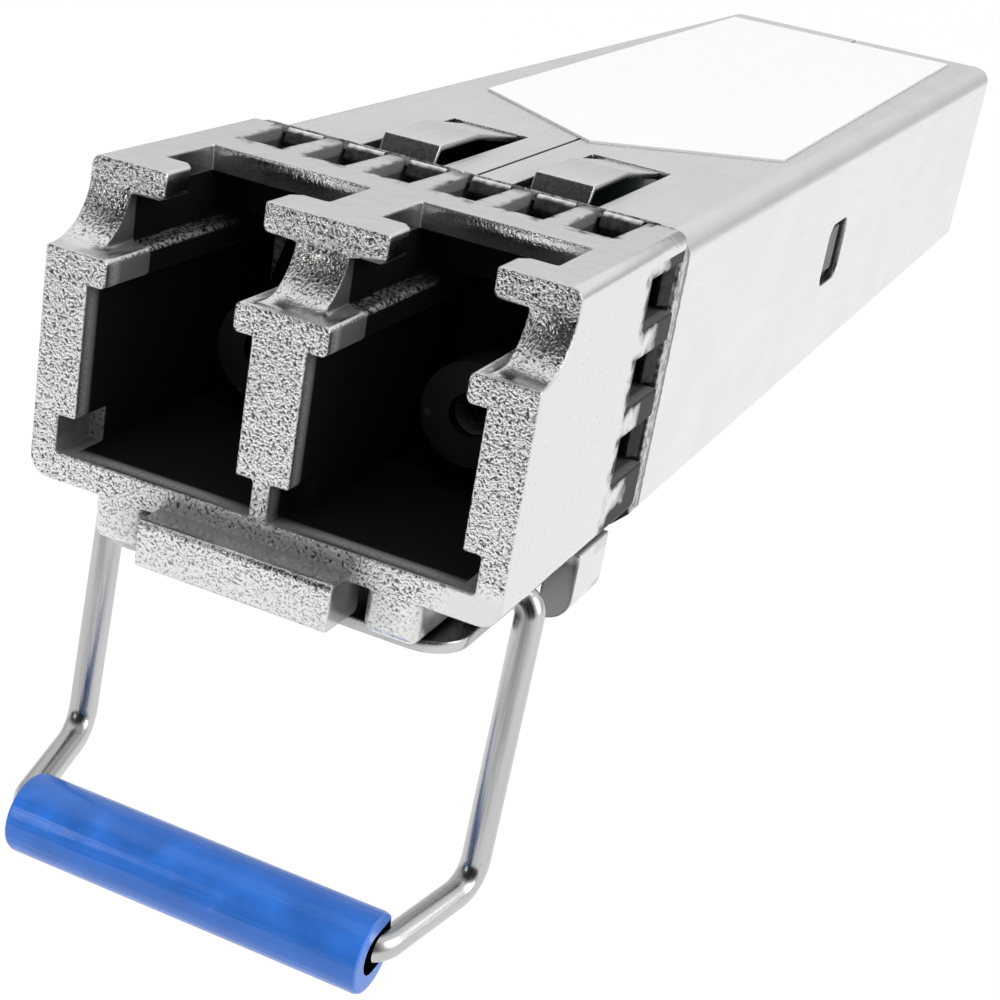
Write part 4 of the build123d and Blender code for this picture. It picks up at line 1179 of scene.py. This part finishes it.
def group_small_parts():
    """A grid of small soldered parts, each a little askew, with marked ends."""
    tree, given, out = new_group(
        "small_parts",
        [("Start", GEOMETRY, None), ("Columns", WHOLE, 4), ("Rows", WHOLE, 2), ("Span", VECTOR, None),
         ("Middle", VECTOR, None), ("Size", VECTOR, None), ("Shift", FLOAT, 0.00004), ("Turn", FLOAT, 0.05),
         ("Seed", WHOLE, 3), ("Finish", MATERIAL, None)],
        [("Parts", GEOMETRY)],
        "GeometryNodeTree",
    )
    span = put(tree, "ShaderNodeSeparateXYZ", None, Vector=given["Span"]).outputs
    size = put(tree, "ShaderNodeSeparateXYZ", None, Vector=given["Size"]).outputs
    grid = put(tree, "GeometryNodeMeshGrid", None, Size_X=span["X"], Size_Y=span["Y"],
               Vertices_X=given["Columns"], Vertices_Y=given["Rows"]).outputs[0]
    part = put(tree, "GeometryNodeMeshCube", None, Size=given["Size"], Vertices_Y=6).outputs[0]
    spot = put(tree, "ShaderNodeSeparateXYZ", None, Vector=put(tree, "GeometryNodeInputPosition").outputs[0])
    share = maths(tree, "DIVIDE", maths(tree, "ABSOLUTE", spot.outputs["Y"]), size["Y"])
    marked = put(tree, "GeometryNodeStoreNamedAttribute", {"data_type": "FLOAT", "domain": "FACE"},
                 Geometry=part, Name=TINNED, Value=maths(tree, "GREATER_THAN", share, END_SHARE)).outputs[0]
    shift = put(tree, "FunctionNodeRandomValue", {"data_type": "FLOAT"}, Seed=given["Seed"], Max=given["Shift"])
    place = put(tree, "ShaderNodeCombineXYZ", None, X=shift.outputs["Value"], Y=shift.outputs["Value"]).outputs[0]
    moved = put(tree, "ShaderNodeVectorMath", {"operation": "ADD"})
    wire(tree, moved, 0, given["Middle"])
    wire(tree, moved, 1, place)
    points = put(tree, "GeometryNodeSetPosition", None, Geometry=grid, Offset=moved.outputs[0]).outputs[0]
    askew = put(tree, "FunctionNodeRandomValue", {"data_type": "FLOAT"}, Seed=maths(tree, "ADD", given["Seed"], 1),
                Min=maths(tree, "MULTIPLY", given["Turn"], -1.0), Max=given["Turn"])
    turned = put(tree, "ShaderNodeCombineXYZ", None, Z=askew.outputs["Value"]).outputs[0]
    parts = put(tree, "GeometryNodeInstanceOnPoints", None, Points=points, Instance=marked, Rotation=turned)
    finish(tree, parts.outputs[0], given["Finish"], out, "Parts")
    return tree


PARTS_GROUP = group_small_parts()
print("made", PARTS_GROUP.name)

# %% [markdown]
# ### From a tree to a piece
# A tree works as a modifier on a mesh that gives its starting points. Its inputs are set by the sockets'
# identifiers, and the result is turned into a plain mesh before the frame's calls see the piece.


# %% Grow a piece
def grow(name, tree, mesh, **values):
    """A piece made by one of these groups, turned into a plain mesh."""
    piece = link_piece(name, mesh)
    modifier = piece.modifiers.new("grow", "NODES")
    modifier.node_group = tree
    for item in tree.interface.items_tree:
        key = item.name.replace(" ", "_")
        if item.in_out == "INPUT" and key in values:
            modifier[item.identifier] = values[key]
    return plain_mesh(piece)


def millimetres(*values):
    """Millimetres turned into the scene's metres."""
    return [value * MM for value in values]


def one_point(name):
    """A mesh of one point, for the trees that need no shape to start from."""
    mesh = bpy.data.meshes.new(name)
    mesh.from_pydata([(0, 0, 0)], [], [])
    return mesh


print("ready to grow pieces")

# %% [markdown]
# ### Growing the bail
# The corners are those of the solid: half of the handle, the leg, the pivot rod with its crank. The other
# half is the mirror image. The handle bends wide, the rod's ends tightly and the crank most tightly.

# %% Bail wire
WIRE_RADIUS, STEPS_IN_A_BEND = 0.4, 10
BEND_RADIUS, ROD_BEND_RADIUS, CRANK_BEND_RADIUS = 0.9, 0.45, 0.12
LEFT_HALF = [
    ((-0.15, -10.124, -12.928), 0.0),
    ((-5.43, -10.124, -12.928), BEND_RADIUS),
    ((-6.3, -6.124, -12.628), BEND_RADIUS),
    ((-6.3, -5.4, -4.35), ROD_BEND_RADIUS),
    ((-2.7, -5.4, -4.35), CRANK_BEND_RADIUS),
    ((-2.35, -5.042, -4.388), CRANK_BEND_RADIUS),
]


def chain_of_corners(name, corners):
    """A chain of edges through the corners, whose points carry their bend radius."""
    mesh = bpy.data.meshes.new(name)
    points = [millimetres(*place) for place, _ in corners]
    mesh.from_pydata(points, [(i, i + 1) for i in range(len(points) - 1)], [])
    radii = mesh.attributes.new(BEND, "FLOAT", "POINT")
    for item, (_, radius) in zip(radii.data, corners):
        item.value = radius * MM
    return mesh


right_half = [((-x, y, z), radius) for (x, y, z), radius in reversed(LEFT_HALF)]
bail = grow("bail_wire_drawn", WIRE_GROUP, chain_of_corners("bail_corners", LEFT_HALF + right_half),
            Wire_radius_mm=WIRE_RADIUS, Steps_in_a_bend=STEPS_IN_A_BEND, Finish=MATERIALS["wire_steel"])
bail.data.shade_smooth()
bail.data.set_sharp_from_angle(angle=SHARP_ANGLE)
dress(bail, "bail_wire")

# %% [markdown]
# ### Growing what is on the board
# The pads lie on both faces of the tongue, and the small parts stand in two rows of four on top. Their
# sizes and places are those of the solids that they stand for.

# %% Contact pads and small parts
PAD_SIZE = (0.56, 2.6, 0.05)
PAD_PITCH, PAD_COUNT, PAD_MIDDLE_Y = 0.8, 10, 42.5
BOARD_TOP, BOARD_BOTTOM = -1.0, -2.0
PART_SIZE, PART_COLUMNS, PART_ROWS, PART_SPAN, PARTS_MIDDLE_Y = (0.5, 1.0, 0.5), 4, 2, (6.6, 2.0, 0), 32.2
PART_SHIFT, PART_TURN, PART_SEED = 0.04, 0.05, 3

first_pad = -PAD_PITCH * (PAD_COUNT - 1) / 2
for node, height in (
    ("edge_contacts_top", BOARD_TOP + PAD_SIZE[2] / 2),
    ("edge_contacts_bottom", BOARD_BOTTOM - PAD_SIZE[2] / 2),
):
    pads = grow(f"{node}_row", PAD_GROUP, one_point(f"{node}_start"), Count=PAD_COUNT,
                Pitch=millimetres(PAD_PITCH, 0, 0), First=millimetres(first_pad, PAD_MIDDLE_Y, height),
                Size=millimetres(*PAD_SIZE), Finish=MATERIALS["gold_contact"])
    dress(pads, node)
parts = grow("board_passives_grid", PARTS_GROUP, one_point("parts_start"), Columns=PART_COLUMNS,
             Rows=PART_ROWS, Span=millimetres(*PART_SPAN),
             Middle=millimetres(0, PARTS_MIDDLE_Y, BOARD_TOP + PART_SIZE[2] / 2), Size=millimetres(*PART_SIZE),
             Shift=PART_SHIFT * MM, Turn=PART_TURN, Seed=PART_SEED, Finish=MATERIALS["passive_body"])
dress(parts, "board_passives")

# %% [markdown]
# ## Finishes on the other solids
# Everything that keeps its own solid only gets its finish, in place of the plain one that it came with.

# %% Finish the remaining solids
for node, solid in frame["nodes"].items():
    if node in REPLACED:
        continue
    solid.data.materials.clear()
    solid.data.materials.append(MATERIALS[SLOT_OF[node]])
print("finished", len(frame["nodes"]) - len(REPLACED), "solids")

# %% [markdown]
# ## A box as plain numbers
# A small helper turns a box into lists of plain numbers. The dressed module has to stay
# inside the solids' own box.

# %% A helper for boxes
def plain(box):
    """A box as lists of plain numbers."""
    return [[float(v) for v in corner] for corner in box]
